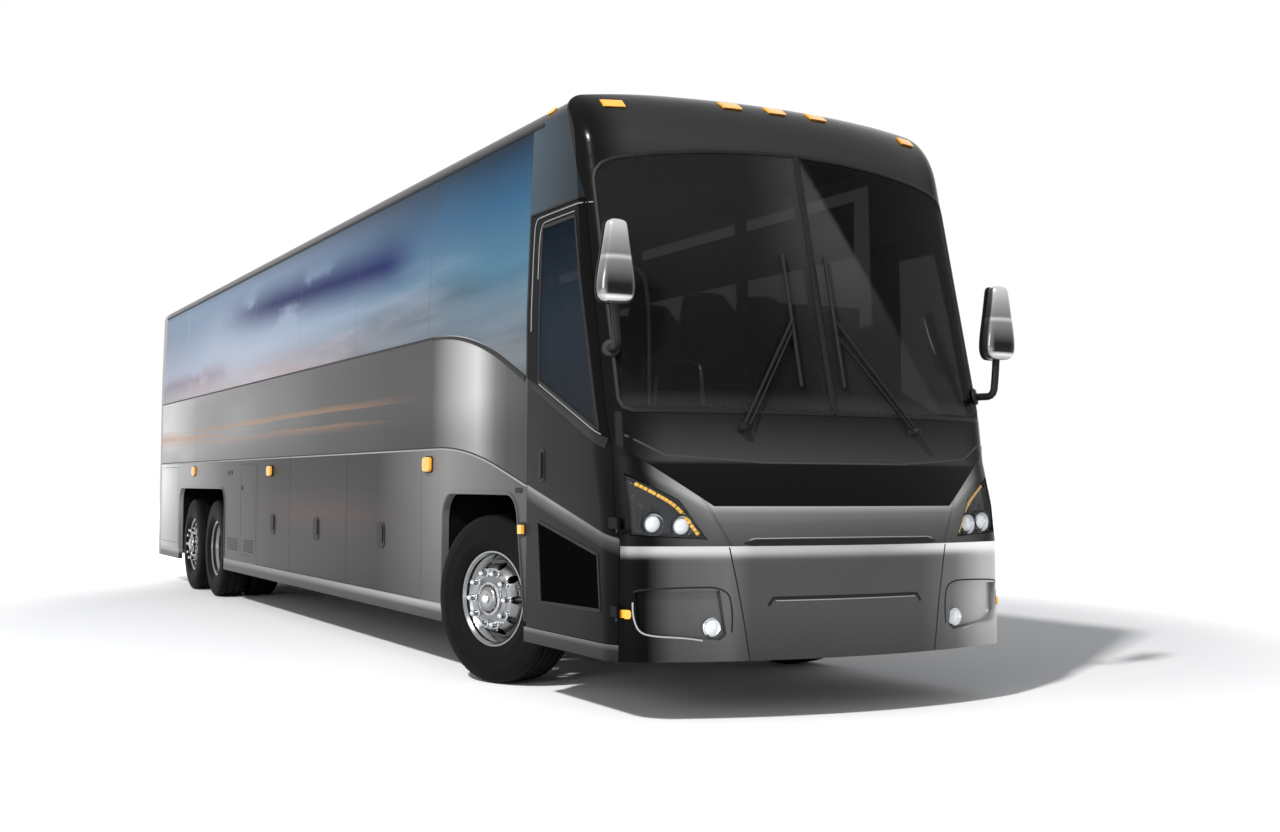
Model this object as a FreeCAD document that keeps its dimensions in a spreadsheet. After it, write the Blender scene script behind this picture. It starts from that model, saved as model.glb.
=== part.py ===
import FreeCAD, Part
import math
import os
import Sketcher

# A three-axle intercity coach, 45 feet long, in millimetres.
# +X is forward, +Y is the left side, +Z is up, and the road is at Z = 0.
# The origin is on the road, below the middle of the body.

V = FreeCAD.Vector
doc = FreeCAD.newDocument("coach_bus")
sheet = doc.addObject("Spreadsheet::Sheet", "Sizes")


class Size:
    """A length that knows its value and the formula that binds it to the sheet."""

    def __init__(self, value, text):
        self.value = float(value)
        self.text = text

    def __float__(self):
        return self.value

    def __neg__(self):
        return Size(-self.value, "(-" + self.text + ")")

    def __add__(self, other):
        other = length(other)
        return Size(self.value + other.value, "(" + self.text + " + " + other.text + ")")

    def __radd__(self, other):
        return length(other) + self

    def __sub__(self, other):
        return self + (-length(other))

    def __rsub__(self, other):
        return length(other) + (-self)

    def __mul__(self, other):
        other = length(other)
        return Size(self.value * other.value, "(" + self.text + " * " + other.text + ")")

    __rmul__ = __mul__

    def __truediv__(self, other):
        other = length(other)
        return Size(self.value / other.value, "(" + self.text + " / " + other.text + ")")


def length(number):
    """A plain number as a Size, or a Size as it is."""
    if isinstance(number, Size):
        return number
    return Size(number, repr(float(number)))


rows = []


def size(alias, value):
    """Write one driving dimension into the sheet and give it back as a Size."""
    rows.append(alias)
    row = str(len(rows))
    sheet.set("A" + row, alias)
    sheet.set("B" + row, str(value))
    sheet.setAlias("B" + row, alias)
    return Size(value, "Sizes." + alias)


# Whole body
body_length = size("body_length", 13840)
half_width = size("half_width", 1295)
roof_height = size("roof_height", 3540)
sill_height = size("sill_height", 330)
rail_top = size("rail_top", 448)
bag_line = size("bag_line", 1497)
belt_line = size("belt_line", 2256)
cant_line = size("cant_line", 3372)
cant_half_width = size("cant_half_width", 1258)
shoulder_half_width = size("shoulder_half_width", 1150)
shoulder_height = size("shoulder_height", 3475)
wall = size("wall", 45)
glass = size("glass", 8)
door_gap = size("door_gap", 5)
belt_start = size("belt_start", 3800)
belt_arc = size("belt_arc", 3690)
bag_start = size("bag_start", 3900)
bag_arc = size("bag_arc", 4620)

# Front and rear faces
face_radius = size("face_radius", 3300)
corner_radius = size("corner_radius", 230)
dome_radius = size("dome_radius", 520)
dome_rise = size("dome_rise", 18)
dome_joint = size("dome_joint", 5880)
rear_radius = size("rear_radius", 9000)
rear_corner_radius = size("rear_corner_radius", 170)
rear_joint = size("rear_joint", -6575)
bumper_top = size("bumper_top", 930)
bumper_wall = size("bumper_wall", 60)
vee_low = size("vee_low", 1140)
vee_half_width = size("vee_half_width", 780)
lamp_depth = size("lamp_depth", 32)
bumper_split_top = size("bumper_split_top", 800)
bumper_split_low = size("bumper_split_low", 665)

# Axles and wheels
front_axle_x = size("front_axle_x", 4670)
wheelbase = size("wheelbase", 8090)
tag_spacing = size("tag_spacing", 1250)
tyre_radius = size("tyre_radius", 530)
tyre_half_width = size("tyre_half_width", 156)
rim_radius = size("rim_radius", 300)
bead_radius = size("bead_radius", 286)
single_track = size("single_track", 1115)
dual_spacing = size("dual_spacing", 336)
dual_track = size("dual_track", 947)
kingpin_track = size("kingpin_track", 950)
kingpin_radius = size("kingpin_radius", 22)
spindle_radius = size("spindle_radius", 42)
running_fit = size("running_fit", 0.06)
seat_gap = size("seat_gap", 0.3)
steer_at_rest = 18.0
dual_spindle = size("dual_spindle", 50)
hand_hole_radius = size("hand_hole_radius", 25)
hand_hole_circle = size("hand_hole_circle", 213)
arm_reach = size("arm_reach", 170)
tie_rod_height = size("tie_rod_height", 400)
ball_radius = size("ball_radius", 10)

# Arches
arch_top = size("arch_top", 1185)
front_arch_rear = size("front_arch_rear", 4030)
front_arch_front = size("front_arch_front", 5330)
rear_arch_front = size("rear_arch_front", -2790)
rear_arch_rear = size("rear_arch_rear", -5340)
arch_lean = size("arch_lean", 110)

# Luggage bays, their doors and the door arms
bay_front = size("bay_front", 3590)
bay_split_front = size("bay_split_front", 1770)
bay_split_rear = size("bay_split_rear", -30)
bay_rear = size("bay_rear", -1290)
panel_split = size("panel_split", -2080)
bulkhead = size("bulkhead", 30)
arm_length = size("arm_length", 480)
arm_pivot_height = size("arm_pivot_height", 1040)
arm_plane = size("arm_plane", 1200)
arm_pin_radius = size("arm_pin_radius", 12)
arm_inset = size("arm_inset", 75)
arm_half = size("arm_half", 6)
lug_radius = size("lug_radius", 20)

# Entry door
door_rear = size("door_rear", 5475)
door_bottom = size("door_bottom", 420)
door_top = size("door_top", 2835)
hinge_x = size("hinge_x", 6642)
hinge_y = size("hinge_y", 1274)
hinge_pin_radius = size("hinge_pin_radius", 6)
hinge_low = size("hinge_low", 560)
hinge_high = size("hinge_high", 1020)
hinge_barrel = size("hinge_barrel", 60)
hinge_outer = size("hinge_outer", 11)

# Floors
floor_top = size("floor_top", 1495)
floor_thickness = size("floor_thickness", 55)
platform_top = size("platform_top", 1070)
bay_floor_top = size("bay_floor_top", 440)
rail_inner = size("rail_inner", 400)
rail_outer = size("rail_outer", 460)
rail_low = size("rail_low", 800)
rail_high = size("rail_high", 950)

# Windows
window_sill = size("window_sill", 2330)
window_head = size("window_head", 3290)
window_post = size("window_post", 60)
pane_seam = size("pane_seam", 6)
pane_front = size("pane_front", 5450)
pane_length = size("pane_length", 1757)
screen_low = size("screen_low", 1652)
screen_high = size("screen_high", 3160)
screen_half_width = size("screen_half_width", 1205)
screen_drop = size("screen_drop", 95)
screen_lap = size("screen_lap", 24)
divider = size("divider", 24)
frame_rear = size("frame_rear", 5640)
frame_width = size("frame_width", 78)
frame_top = size("frame_top", 2750)
window_lap = size("window_lap", 20)

# Rear
engine_door_half_width = size("engine_door_half_width", 860)
engine_door_low = size("engine_door_low", 700)
engine_door_high = size("engine_door_high", 1740)

# Seats
seat_pitch = size("seat_pitch", 838)
first_seat = size("first_seat", 5060)
doc.recompute()

half_length = body_length / 2
drive_axle_x = front_axle_x - wheelbase
tag_axle_x = drive_axle_x - tag_spacing

pieces = []


def piece(node, obj):
    """Name an object as a node of the coach, to be written out."""
    obj.Label = node
    pieces.append(obj)
    return obj


def bind(obj, prop, value):
    """Tie a property to the sheet, or set it where the value is a plain number."""
    value = length(value)
    if "Sizes." in value.text:
        obj.setExpression(prop, value.text)
    else:
        obj.setExpression(prop, repr(value.value))


def box(name, x, y, z):
    """A block between two values along each axis."""
    block = doc.addObject("Part::Box", name)
    for side, axis, (low, high) in zip(("Length", "Width", "Height"), "xyz", (x, y, z)):
        bind(block, side, length(high) - low)
        bind(block, "Placement.Base." + axis, low)
    return block


TURNS = {
    "x": FreeCAD.Rotation(V(0, 1, 0), 90),
    "y": FreeCAD.Rotation(V(1, 0, 0), -90),
    "z": FreeCAD.Rotation(),
}


def rod(name, axis, start, radius, reach):
    """A cylinder that starts at a point and runs along an axis."""
    bar = doc.addObject("Part::Cylinder", name)
    bar.Placement.Rotation = TURNS[axis]
    bind(bar, "Radius", radius)
    bind(bar, "Height", reach)
    for letter, value in zip("xyz", start):
        bind(bar, "Placement.Base." + letter, value)
    return bar


PLANES = {
    "xz": (FreeCAD.Rotation(V(1, 0, 0), 90), "y", V(0, 1, 0)),
    "yz": (FreeCAD.Rotation(V(1, 1, 1), 120), "x", V(1, 0, 0)),
    "xy": (FreeCAD.Rotation(), "z", V(0, 0, 1)),
}


def outline(name, plane, points):
    """A closed sketch through points; a point marked "mid" lies on an arc between its neighbours."""
    sketch = doc.addObject("Sketcher::SketchObject", name)
    sketch.Placement.Rotation = PLANES[plane][0]
    corners = [p for p in points if len(p) == 2]
    ends = []
    for place, corner in enumerate(points):
        if len(corner) == 3:
            continue
        follower = points[(place + 1) % len(points)]
        start = V(float(corner[0]), float(corner[1]), 0)
        if len(follower) == 3:
            last = points[(place + 2) % len(points)]
            middle = V(float(follower[0]), float(follower[1]), 0)
            stop = V(float(last[0]), float(last[1]), 0)
            leftward = (middle - start).cross(stop - middle).z > 0
            if leftward:
                curve = sketch.addGeometry(Part.Arc(start, middle, stop))
            else:
                curve = sketch.addGeometry(Part.Arc(stop, middle, start))
            ends.append((curve, 1, 2) if leftward else (curve, 2, 1))
            mark = sketch.addGeometry(Part.Point(middle), True)
            fix_point(sketch, mark, 1, follower)
            sketch.addConstraint(Sketcher.Constraint("PointOnObject", mark, 1, curve))
        else:
            stop = V(float(follower[0]), float(follower[1]), 0)
            line = sketch.addGeometry(Part.LineSegment(start, stop))
            ends.append((line, 1, 2))
    for place, (edge, first, last) in enumerate(ends):
        follower, start, _ = ends[(place + 1) % len(ends)]
        sketch.addConstraint(Sketcher.Constraint("Coincident", edge, last, follower, start))
        fix_point(sketch, edge, first, corners[place])
    return sketch


def fix_point(sketch, geometry, end, point):
    """Hold one point of a sketch at two values from the sketch's origin."""
    for kind, value in zip(("DistanceX", "DistanceY"), point):
        value = length(value)
        rule = Sketcher.Constraint(kind, -1, 1, geometry, end, value.value)
        number = sketch.addConstraint(rule)
        if "Sizes." in value.text:
            sketch.setExpression("Constraints[%d]" % number, value.text)


def prism(name, plane, points, low, high):
    """An outline drawn out along the axis that its plane leaves free."""
    turn, axis, direction = PLANES[plane]
    sketch = outline(name + "_outline", plane, points)
    bind(sketch, "Placement.Base." + axis, low)
    solid = doc.addObject("Part::Extrusion", name)
    solid.Base = sketch
    solid.DirMode = "Custom"
    solid.Dir = direction
    bind(solid, "LengthFwd", length(high) - low)
    solid.Solid = True
    return solid


def turned(name, points, at):
    """A profile of (radius, across) points turned round a line along Y through a point."""
    sketch = outline(name + "_profile", "yz", [(p[1], p[0]) + tuple(p[2:]) for p in points])
    for letter, value in zip("xyz", at):
        bind(sketch, "Placement.Base." + letter, value)
    solid = doc.addObject("Part::Revolution", name)
    solid.Source = sketch
    solid.Axis = V(0, 1, 0)
    for letter, value in zip("xyz", at):
        bind(solid, "Base." + letter, value)
    solid.Angle = 360
    solid.Solid = True
    return solid


def shaped(name, shape):
    """A solid whose shape is worked out in code."""
    feature = doc.addObject("Part::Feature", name)
    feature.Shape = shape
    return feature


def fuse(name, *parts):
    """One solid from parts that meet."""
    joined = doc.addObject("Part::MultiFuse", name)
    joined.Shapes = list(parts)
    return joined


def cut(name, base, *tools):
    """A base with one or more tools taken out of it, one after the other."""
    carved = base
    for number, tool in enumerate(tools, 1):
        last = number == len(tools)
        step = doc.addObject("Part::Cut", name if last else name + "_step_%d" % number)
        step.Base = carved
        step.Tool = tool
        step.Refine = False
        carved = step
    return carved


def common(name, base, tool):
    """What two solids share."""
    shared = doc.addObject("Part::Common", name)
    shared.Base = base
    shared.Tool = tool
    return shared


def mirror_image(name, source):
    """The same solid on the other side of the coach."""
    image = doc.addObject("Part::Mirroring", name)
    image.Source = source
    image.Normal = V(0, 1, 0)
    return image


def group(name, *parts):
    """Solids that belong to one node and don't touch."""
    together = doc.addObject("Part::Compound", name)
    together.Links = list(parts)
    return together


# The body's outer form: a cross-section along X, closed by a curved nose and a rounded tail

FACE_SLOPES = [
    (half_length, sill_height - 10),
    (half_length - 15, bumper_top),
    (half_length - 45, 1140),
    (half_length - 125, 1400),
    (half_length - 158, 1640),
    (half_length - 562, 3170),
]
DOME_TURN = math.radians(86)
FAR = 16000


def polar(centre, radius, angle):
    """A point on a circle in the XY plane."""
    return V(centre.x + radius * math.cos(angle), centre.y + radius * math.sin(angle), centre.z)


def arc_between(centre, radius, start, stop):
    """An arc in the XY plane from one angle to another."""
    middle = (start + stop) / 2
    return Part.Arc(
        polar(centre, radius, start), polar(centre, radius, middle), polar(centre, radius, stop)
    ).toShape()


def plan(radius, corner, half):
    """The body's plan: a bowed face at X = 0, two round corners, and sides that run far back."""
    side = half - corner
    back = -radius + math.sqrt((radius - corner) ** 2 - side ** 2)
    turn = math.atan2(side, back + radius)
    left = V(back, side, 0)
    right = V(back, -side, 0)
    edges = [
        arc_between(V(-radius, 0, 0), radius, -turn, turn),
        arc_between(left, corner, turn, math.pi / 2),
        Part.LineSegment(V(back, half, 0), V(-FAR, half, 0)).toShape(),
        Part.LineSegment(V(-FAR, half, 0), V(-FAR, -half, 0)).toShape(),
        Part.LineSegment(V(-FAR, -half, 0), V(back, -half, 0)).toShape(),
        arc_between(right, corner, -math.pi / 2, -turn),
    ]
    return Part.Wire(Part.__sortEdges__(edges))


def nose_form(inset):
    """The plan carried up the slopes of the face and round the dome, turned nowhere."""
    slopes = [V(float(x) - inset, 0, float(z)) for x, z in FACE_SLOPES]
    path = [Part.LineSegment(a, b).toShape() for a, b in zip(slopes, slopes[1:])]
    lean = math.atan2(slopes[-2].x - slopes[-1].x, slopes[-1].z - slopes[-2].z)
    radius = float(dome_radius) - inset
    centre = slopes[-1] - V(math.cos(lean), 0, math.sin(lean)) * radius

    def dome(angle):
        return centre + V(math.cos(angle), 0, math.sin(angle)) * radius

    path.append(Part.Arc(slopes[-1], dome((lean + DOME_TURN) / 2), dome(DOME_TURN)).toShape())
    ring = plan(float(face_radius) - inset, float(corner_radius) - inset, float(half_width) - inset)
    ring.translate(slopes[0])
    sweep = Part.BRepOffsetAPI.MakePipeShell(Part.Wire(path))
    sweep.setTrihedronMode(V(0, 0, 0), V(0, 1, 0))
    sweep.add(ring, False, False)
    sweep.build()
    sweep.makeSolid()
    return sweep.shape()


def tail_form(inset):
    """The plan of the tail, straight up, with its face at the rear end of the body."""
    ring = plan(float(rear_radius), float(rear_corner_radius) - inset, float(half_width) - inset)
    ring.rotate(V(0, 0, 0), V(0, 0, 1), 180)
    ring.translate(V(-float(half_length) + inset, 0, 0))
    return Part.Face(ring).extrude(V(0, 0, 5000))


def section_form(inset, rise):
    """The cross-section along the whole body, its roof raised by the rise."""
    side = float(half_width) - inset
    low = float(sill_height)
    belt = V(0, side, float(belt_line))
    cant = V(0, float(cant_half_width) - inset, float(cant_line) + rise)
    shoulder = V(
        0, float(shoulder_half_width) - 0.3 * inset, float(shoulder_height) - 0.95 * inset + rise
    )
    crown = V(0, 0, float(roof_height) - inset + rise)
    knee = (cant + shoulder) / 2 + V(0, 1, 1).normalize() * 26

    def mirrored(point):
        return V(point.x, -point.y, point.z)

    corners = [V(0, side, low), belt, cant]
    edges = [Part.LineSegment(a, b).toShape() for a, b in zip(corners, corners[1:])]
    edges.append(Part.Arc(cant, knee, shoulder).toShape())
    edges.append(Part.Arc(shoulder, crown, mirrored(shoulder)).toShape())
    edges.append(Part.Arc(mirrored(shoulder), mirrored(knee), mirrored(cant)).toShape())
    edges.append(Part.LineSegment(mirrored(cant), mirrored(belt)).toShape())
    edges.append(Part.LineSegment(mirrored(belt), V(0, -side, low)).toShape())
    edges.append(Part.LineSegment(V(0, -side, low), V(0, side, low)).toShape())
    face = Part.Face(Part.Wire(edges))
    face.translate(V(-float(half_length) - 100, 0, 0))
    return face.extrude(V(float(body_length) + 200, 0, 0))


def body_form(inset, rise=0.0):
    """The whole body as one block, its walls set in by the inset."""
    return section_form(inset, rise).common(nose_form(inset)).common(tail_form(inset))


outer = shaped("body_outer", body_form(0.0))
inner = shaped("body_inner", body_form(float(wall)))
under_glass = shaped("body_under_glass", body_form(float(glass)))
shell = cut("body_shell", outer, inner)
skin = cut("body_skin", outer, under_glass)

# The straight stretch of both walls behind the bowed face, for the many panels cut from it
flank_zone = box("flank_zone", (rear_joint - 50, 5300), (-1500, 1500), (0, 4000))
flank = common("flank", shell, flank_zone)
flank_skin = common("flank_skin", skin, flank_zone)

# Lines that the panels are split along, seen from the side

LOW = 0
HIGH = 4200
SIDE = 1500
belt_sweep = math.radians(21.3)
bag_sweep = math.radians(13.8)


def swoosh(start, height, radius, sweep, stop):
    """Points of a level line that bends down on an arc and runs on straight to a stop."""
    bend = (start + radius * math.sin(sweep), height - radius * (1 - math.cos(sweep)))
    half = sweep / 2
    middle = (start + radius * math.sin(half), height - radius * (1 - math.cos(half)), "mid")
    fall = math.tan(sweep)
    return [(start, height), middle, bend, (stop, bend[1] - (stop - bend[0]) * fall)]


def belt_to(stop):
    return swoosh(belt_start, belt_line, belt_arc, belt_sweep, stop)


def bag_to(stop):
    return swoosh(bag_start, bag_line, bag_arc, bag_sweep, stop)


def height_at(line, stop):
    """The height of a swoosh where it stops."""
    return line(stop)[-1][1]


# The corner line is the front edge of the door; above the belt it leans with the windscreen.
corner_low = half_length - 300
corner_belt = half_length - 420
corner_head = half_length - 755
corner_cant = half_length - 990
corner_belt_height = height_at(belt_to, corner_belt)
corner_line = [
    (corner_low, bumper_top),
    (corner_belt, corner_belt_height),
    (corner_head, door_top),
    (corner_cant, cant_line),
    (dome_joint, shoulder_height),
]
ahead = half_length + 300
face_zone = prism(
    "face_zone",
    "xz",
    [(corner_low, LOW)] + corner_line + [(dome_joint, HIGH), (ahead, HIGH), (ahead, LOW)],
    -SIDE,
    SIDE,
)
vee_rise = 0.72
vee_edge = vee_low + (SIDE - vee_half_width) * vee_rise
vee_points = [(-SIDE, vee_edge), (-vee_half_width, vee_low), (vee_half_width, vee_low), (SIDE, vee_edge)]
above_vee = prism("above_vee", "yz", vee_points + [(SIDE, HIGH), (-SIDE, HIGH)], 5000, ahead)


def both(kind, name, *values):
    """The same solid on the right and on the left, as a pair."""
    return [kind(name + "_" + side, sign, *values) for side, sign in (("right", -1), ("left", 1))]


def across(sign, near, far):
    """The span between two distances from the middle, on one side."""
    return (near, far) if sign > 0 else (-far, -near)


# Side walls, from the bag line to the roof, with window openings behind flush panes

pane_edges = [pane_front - pane_length * number for number in range(7)] + [rear_joint]
past_corner = corner_low + 80
door_head = door_top + door_gap


def side_outline(sign):
    """The side wall seen from the side, up to and past the corner line; the left one has no door."""
    door_edge = door_rear - door_gap
    if sign < 0:
        front = bag_to(door_edge)
    else:
        front = bag_to(past_corner) + [(past_corner, height_at(belt_to, past_corner))]
        front += [(door_edge, height_at(belt_to, door_edge))]
    front += [(door_edge, door_head), (past_corner, door_head), (past_corner, cant_line)]
    return [(rear_joint, bag_line)] + front + [(rear_joint, cant_line)]


def window_band(sign):
    """The glass band of one side, split into panes by narrow seams."""
    name = "band_left" if sign > 0 else "band_right"
    panes = []
    for number, (front, rear) in enumerate(zip(pane_edges, pane_edges[1:])):
        front = front - pane_seam / 2
        rear = rear + pane_seam / 2
        lower = [(rear, belt_line + pane_seam)]
        if float(front) > float(belt_start):
            lower += swoosh(belt_start, belt_line + pane_seam, belt_arc, belt_sweep, front)
        else:
            lower += [(front, belt_line + pane_seam)]
        upper = [(front, cant_line - pane_seam), (rear, cant_line - pane_seam)]
        zone = prism("%s_%d_zone" % (name, number), "xz", lower + upper, *across(sign, 1000, SIDE))
        source = skin if number == 0 else flank_skin
        panes.append(common("%s_%d" % (name, number), source, zone))
    return panes


def window_holes(sign):
    """The openings in the wall behind the panes."""
    holes = []
    for number, (front, rear) in enumerate(zip(pane_edges, pane_edges[1:])):
        x = (rear + window_post, front - window_post)
        z = (window_sill, window_head)
        holes.append(box("window_hole_%s_%d" % (sign, number), x, across(sign, 1000, SIDE), z))
    return holes


def side_wall(name, sign, panes):
    region = prism(name + "_region", "xz", side_outline(sign), *across(sign, 1000, SIDE))
    wall_part = common(name + "_blank", shell, cut(name + "_zone", region, face_zone))
    holes = group(name + "_holes", *window_holes(sign))
    return piece(name, cut(name, wall_part, group(name + "_panes", *panes), holes))


right_panes = window_band(-1)
left_panes = window_band(1)
side_wall("side_wall_right", -1, right_panes)
side_wall("side_wall_left", 1, left_panes)

# Skirts below the bag line, with the wheel arches cut, and the silver rail below them


def arch_zone(name, sign, rear, front, lean):
    """A wheel arch: upright sides, round top corners, and a front edge that may lean."""
    bend = 175
    inward = bend * (1 - math.sin(math.pi / 4))
    points = [
        (rear, LOW),
        (rear, arch_top - bend),
        (rear + inward, arch_top - inward, "mid"),
        (rear + bend, arch_top),
        (front - bend, arch_top),
        (front - inward, arch_top - inward, "mid"),
        (front, arch_top - bend),
        (front + lean, rail_top),
        (front + lean, LOW),
    ]
    return prism(name, "xz", points, *across(sign, 1000, SIDE))



def skirt(name, sign):
    front_stop = door_rear - door_gap if sign < 0 else past_corner
    span = across(sign, 1000, SIDE)
    front_start = bay_front + door_gap / 2
    low = [(front_stop, rail_top), (front_start, rail_top), (front_start, bag_line)]
    front_zone = prism(name + "_front_zone", "xz", low + bag_to(front_stop), *span)
    rear_zone = box(name + "_rear_zone", (rear_joint, bay_rear - door_gap / 2), span, (rail_top, bag_line))
    front_part = common(name + "_front_blank", shell, front_zone)
    rear_part = common(name + "_rear_blank", flank, rear_zone)
    front_arch = arch_zone(name + "_front_arch", sign, front_arch_rear, front_arch_front, arch_lean)
    rear_arch = arch_zone(name + "_rear_arch", sign, rear_arch_rear, rear_arch_front, 0)
    front_cut = cut(name + "_front", front_part, front_arch, face_zone)
    rear_cut = cut(name + "_rear", rear_part, rear_arch)
    return piece(name, group(name, front_cut, rear_cut))


both(skirt, "skirt")


def rail_part(name, sign, rear, front, top):
    zone = box(name + "_zone", (rear, front), across(sign, 1000, SIDE), (LOW, top))
    return common(name, shell, zone)


rails = []
for rail_side in (-1, 1):
    tag = "left" if rail_side > 0 else "right"
    rails.append(rail_part("rail_rear_" + tag, rail_side, rear_joint, rear_arch_rear, rail_top))
    rails.append(rail_part("rail_middle_" + tag, rail_side, rear_arch_front, front_arch_rear, rail_top))
    under_door = door_bottom - door_gap if rail_side < 0 else rail_top
    rear_end = front_arch_front + arch_lean
    rails.append(rail_part("rail_front_" + tag, rail_side, rear_end, corner_low, under_door))
piece("rocker_rails", group("rocker_rails", *rails))

# Roof, from the cant line up, between the dome and the tail

roof_edge = [(corner_cant, cant_line), (dome_joint, shoulder_height), (dome_joint, HIGH)]
roof_zone = prism(
    "roof_zone", "xz", roof_edge + [(rear_joint, HIGH), (rear_joint, cant_line)], -SIDE, SIDE
)
piece("roof", common("roof", shell, roof_zone))

# Front: black mask with the dome, windscreen, nose panel and bumper

raised = shaped("body_raised", body_form(0.0, float(dome_rise)))
raised_glass = shaped("body_raised_glass", body_form(float(glass) * 1.5, float(dome_rise)))
mask_shell = cut("mask_shell", raised, inner)


def screen_zone(name, sign, lap):
    """One half of the windscreen from the front, its top edge falling to the outer corner."""
    near = divider / 2 + lap
    far = screen_half_width - lap
    round_off = 120
    points = [
        (near, screen_low + lap),
        (far - 60, screen_low + lap),
        (far - 17, screen_low + lap + 17, "mid"),
        (far, screen_low + lap + 60),
        (far, screen_high - screen_drop - lap - round_off),
        (far - 35, screen_high - screen_drop - lap - 35, "mid"),
        (far - round_off, screen_high - screen_drop - lap + 8),
        (near + (far - near) / 2, screen_high - lap - screen_drop / 4, "mid"),
        (near, screen_high - lap),
    ]
    points = [(p[0] * sign,) + tuple(p[1:]) for p in points]
    return prism(name, "yz", points, 5500, ahead)


screen_skin = cut("screen_skin", raised, raised_glass)
screen_left = common("screen_left", screen_skin, screen_zone("screen_zone", 1, 0))
screen_right = mirror_image("screen_right", screen_left)
piece("windscreen", group("windscreen", screen_right, screen_left))
screen_beds = []
screen_holes = []
for screen_side, tag in ((-1, "right"), (1, "left")):
    bed_zone = screen_zone("screen_bed_zone_" + tag, screen_side, 0)
    screen_beds.append(cut("screen_bed_" + tag, bed_zone, raised_glass))
    screen_holes.append(screen_zone("screen_hole_" + tag, screen_side, screen_lap))

# The driver's window mirrors the upper glass of the door.
frame_rear_low = height_at(belt_to, frame_rear) + 40
frame_front_low_x = corner_belt - frame_width
frame_front_low = height_at(belt_to, frame_front_low_x) + 40
frame_front_top_x = corner_head - frame_width


def upper_glass(name, sign, lap):
    """The glass beside the driver and in the door, its front edge leaning with the corner post."""
    points = [
        (frame_rear + lap, frame_rear_low + lap),
        (frame_front_low_x - lap, frame_front_low + lap * 1.4),
        (frame_front_top_x - lap, frame_top - lap),
        (frame_rear + lap, frame_top - lap),
    ]
    return prism(name, "xz", points, *across(sign, 1000, SIDE))


driver_side = prism(
    "driver_side_zone",
    "xz",
    [
        (door_rear - door_gap, height_at(belt_to, door_rear - door_gap)),
        (past_corner, height_at(belt_to, past_corner)),
        (past_corner, door_head),
        (door_rear - door_gap, door_head),
    ],
    1000,
    SIDE,
)
driver_panel = cut("driver_panel", common("driver_wall", shell, driver_side), face_zone)
face_blank = common("face_blank", mask_shell, common("mask_zone", face_zone, above_vee))
mask_blank = fuse("mask_blank", face_blank, driver_panel)
driver_pane = common("driver_pane", skin, upper_glass("driver_pane_zone", 1, 0))
driver_hole = upper_glass("driver_hole", 1, window_lap)
mask_tools = screen_beds + screen_holes + [driver_pane, driver_hole]
piece("front_mask", cut("front_mask", mask_blank, *mask_tools))
piece("side_glass", group("side_glass", *(right_panes + left_panes + [driver_pane])))

# Nose panel with lamp pockets
under_lamps = shaped("body_under_lamps", body_form(float(lamp_depth)))
lamp_skin = cut("lamp_skin", outer, under_lamps)


def lamp_pocket(name, sign):
    """The headlamp pocket from the front: it follows the vee above and the bumper below."""
    points = [
        (825, 965),
        (1212, 985),
        (1212, 1312),
        (960, 1175),
    ]
    points = [(p[0] * sign, p[1]) for p in points]
    return prism(name, "yz", points, 6300, ahead)


pockets = both(lamp_pocket, "lamp_pocket")
nose_zone = cut("nose_zone", face_zone, above_vee)
nose_box = box("nose_box", (corner_low - 400, ahead), (-SIDE, SIDE), (bumper_top, HIGH))
nose_blank = common("nose_blank", shell, common("nose_region", nose_zone, nose_box))
lamp_beds = [common("lamp_bed_%d" % i, lamp_skin, p) for i, p in enumerate(pockets)]
nose = cut("nose", nose_blank, *lamp_beds)

# Bumper in three parts, with pockets for the fog lamps
under_bumper = shaped("body_under_bumper", body_form(float(bumper_wall)))
bumper_shell = cut("bumper_shell", outer, under_bumper)
bumper_middle_points = [
    (-bumper_split_low, LOW),
    (bumper_split_low, LOW),
    (bumper_split_top, bumper_top),
    (-bumper_split_top, bumper_top),
]
bumper_middle_zone = prism("bumper_middle_zone", "yz", bumper_middle_points, corner_low, ahead)
bumper_box = box("bumper_box", (corner_low, ahead), (-SIDE, SIDE), (LOW, bumper_top))
bumper_all = common("bumper_all", bumper_shell, bumper_box)
bumper_middle = common("bumper_middle", bumper_all, bumper_middle_zone)
bumper_ends = cut("bumper_ends", bumper_all, bumper_middle_zone)


def fog_pocket(name, sign):
    """The recess round a fog lamp, wider at the top."""
    points = [
        (770, 440),
        (1100, 470),
        (1165, 500, "mid"),
        (1185, 560),
        (1195, 690),
        (740, 700),
        (715, 590),
        (725, 480, "mid"),
    ]
    points = [(p[0] * sign,) + tuple(p[1:]) for p in points]
    return prism(name, "yz", points, 6300, ahead)


fog_pockets = both(fog_pocket, "fog_pocket")
fog_beds = [common("fog_bed_%d" % i, lamp_skin, p) for i, p in enumerate(fog_pockets)]
bumper_ends_cut = cut("bumper_ends_cut", bumper_ends, *fog_beds)

# Hinges of the entry door: ears on the nose and the bumper hold upright pins outside the corner


def hinge_ear(name, height):
    """A short ear on the body with the pin that the door's barrel turns on."""
    ear_x = (hinge_x - 10, hinge_x + 12)
    ear_zone = box(name + "_block", ear_x, (-hinge_y - 11, -1180), (height - 18, height))
    ear = cut(name + "_foot", ear_zone, outer)
    pin = rod(name + "_pin", "z", (hinge_x, -hinge_y, height - 10), hinge_pin_radius, hinge_barrel + 10)
    return fuse(name, ear, pin)


bumper_right_ear = hinge_ear("bumper_ear", hinge_low)
nose_ear = hinge_ear("nose_ear", hinge_high)
bumper_outer = fuse("bumper_outer", bumper_ends_cut, bumper_right_ear)
piece("front_bumper", group("front_bumper", bumper_middle, bumper_outer))
piece("nose_panel", fuse("nose_panel", nose, nose_ear))

# Entry door: the wall between the door's edges, with two windows, hinge barrels and a handle recess


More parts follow.
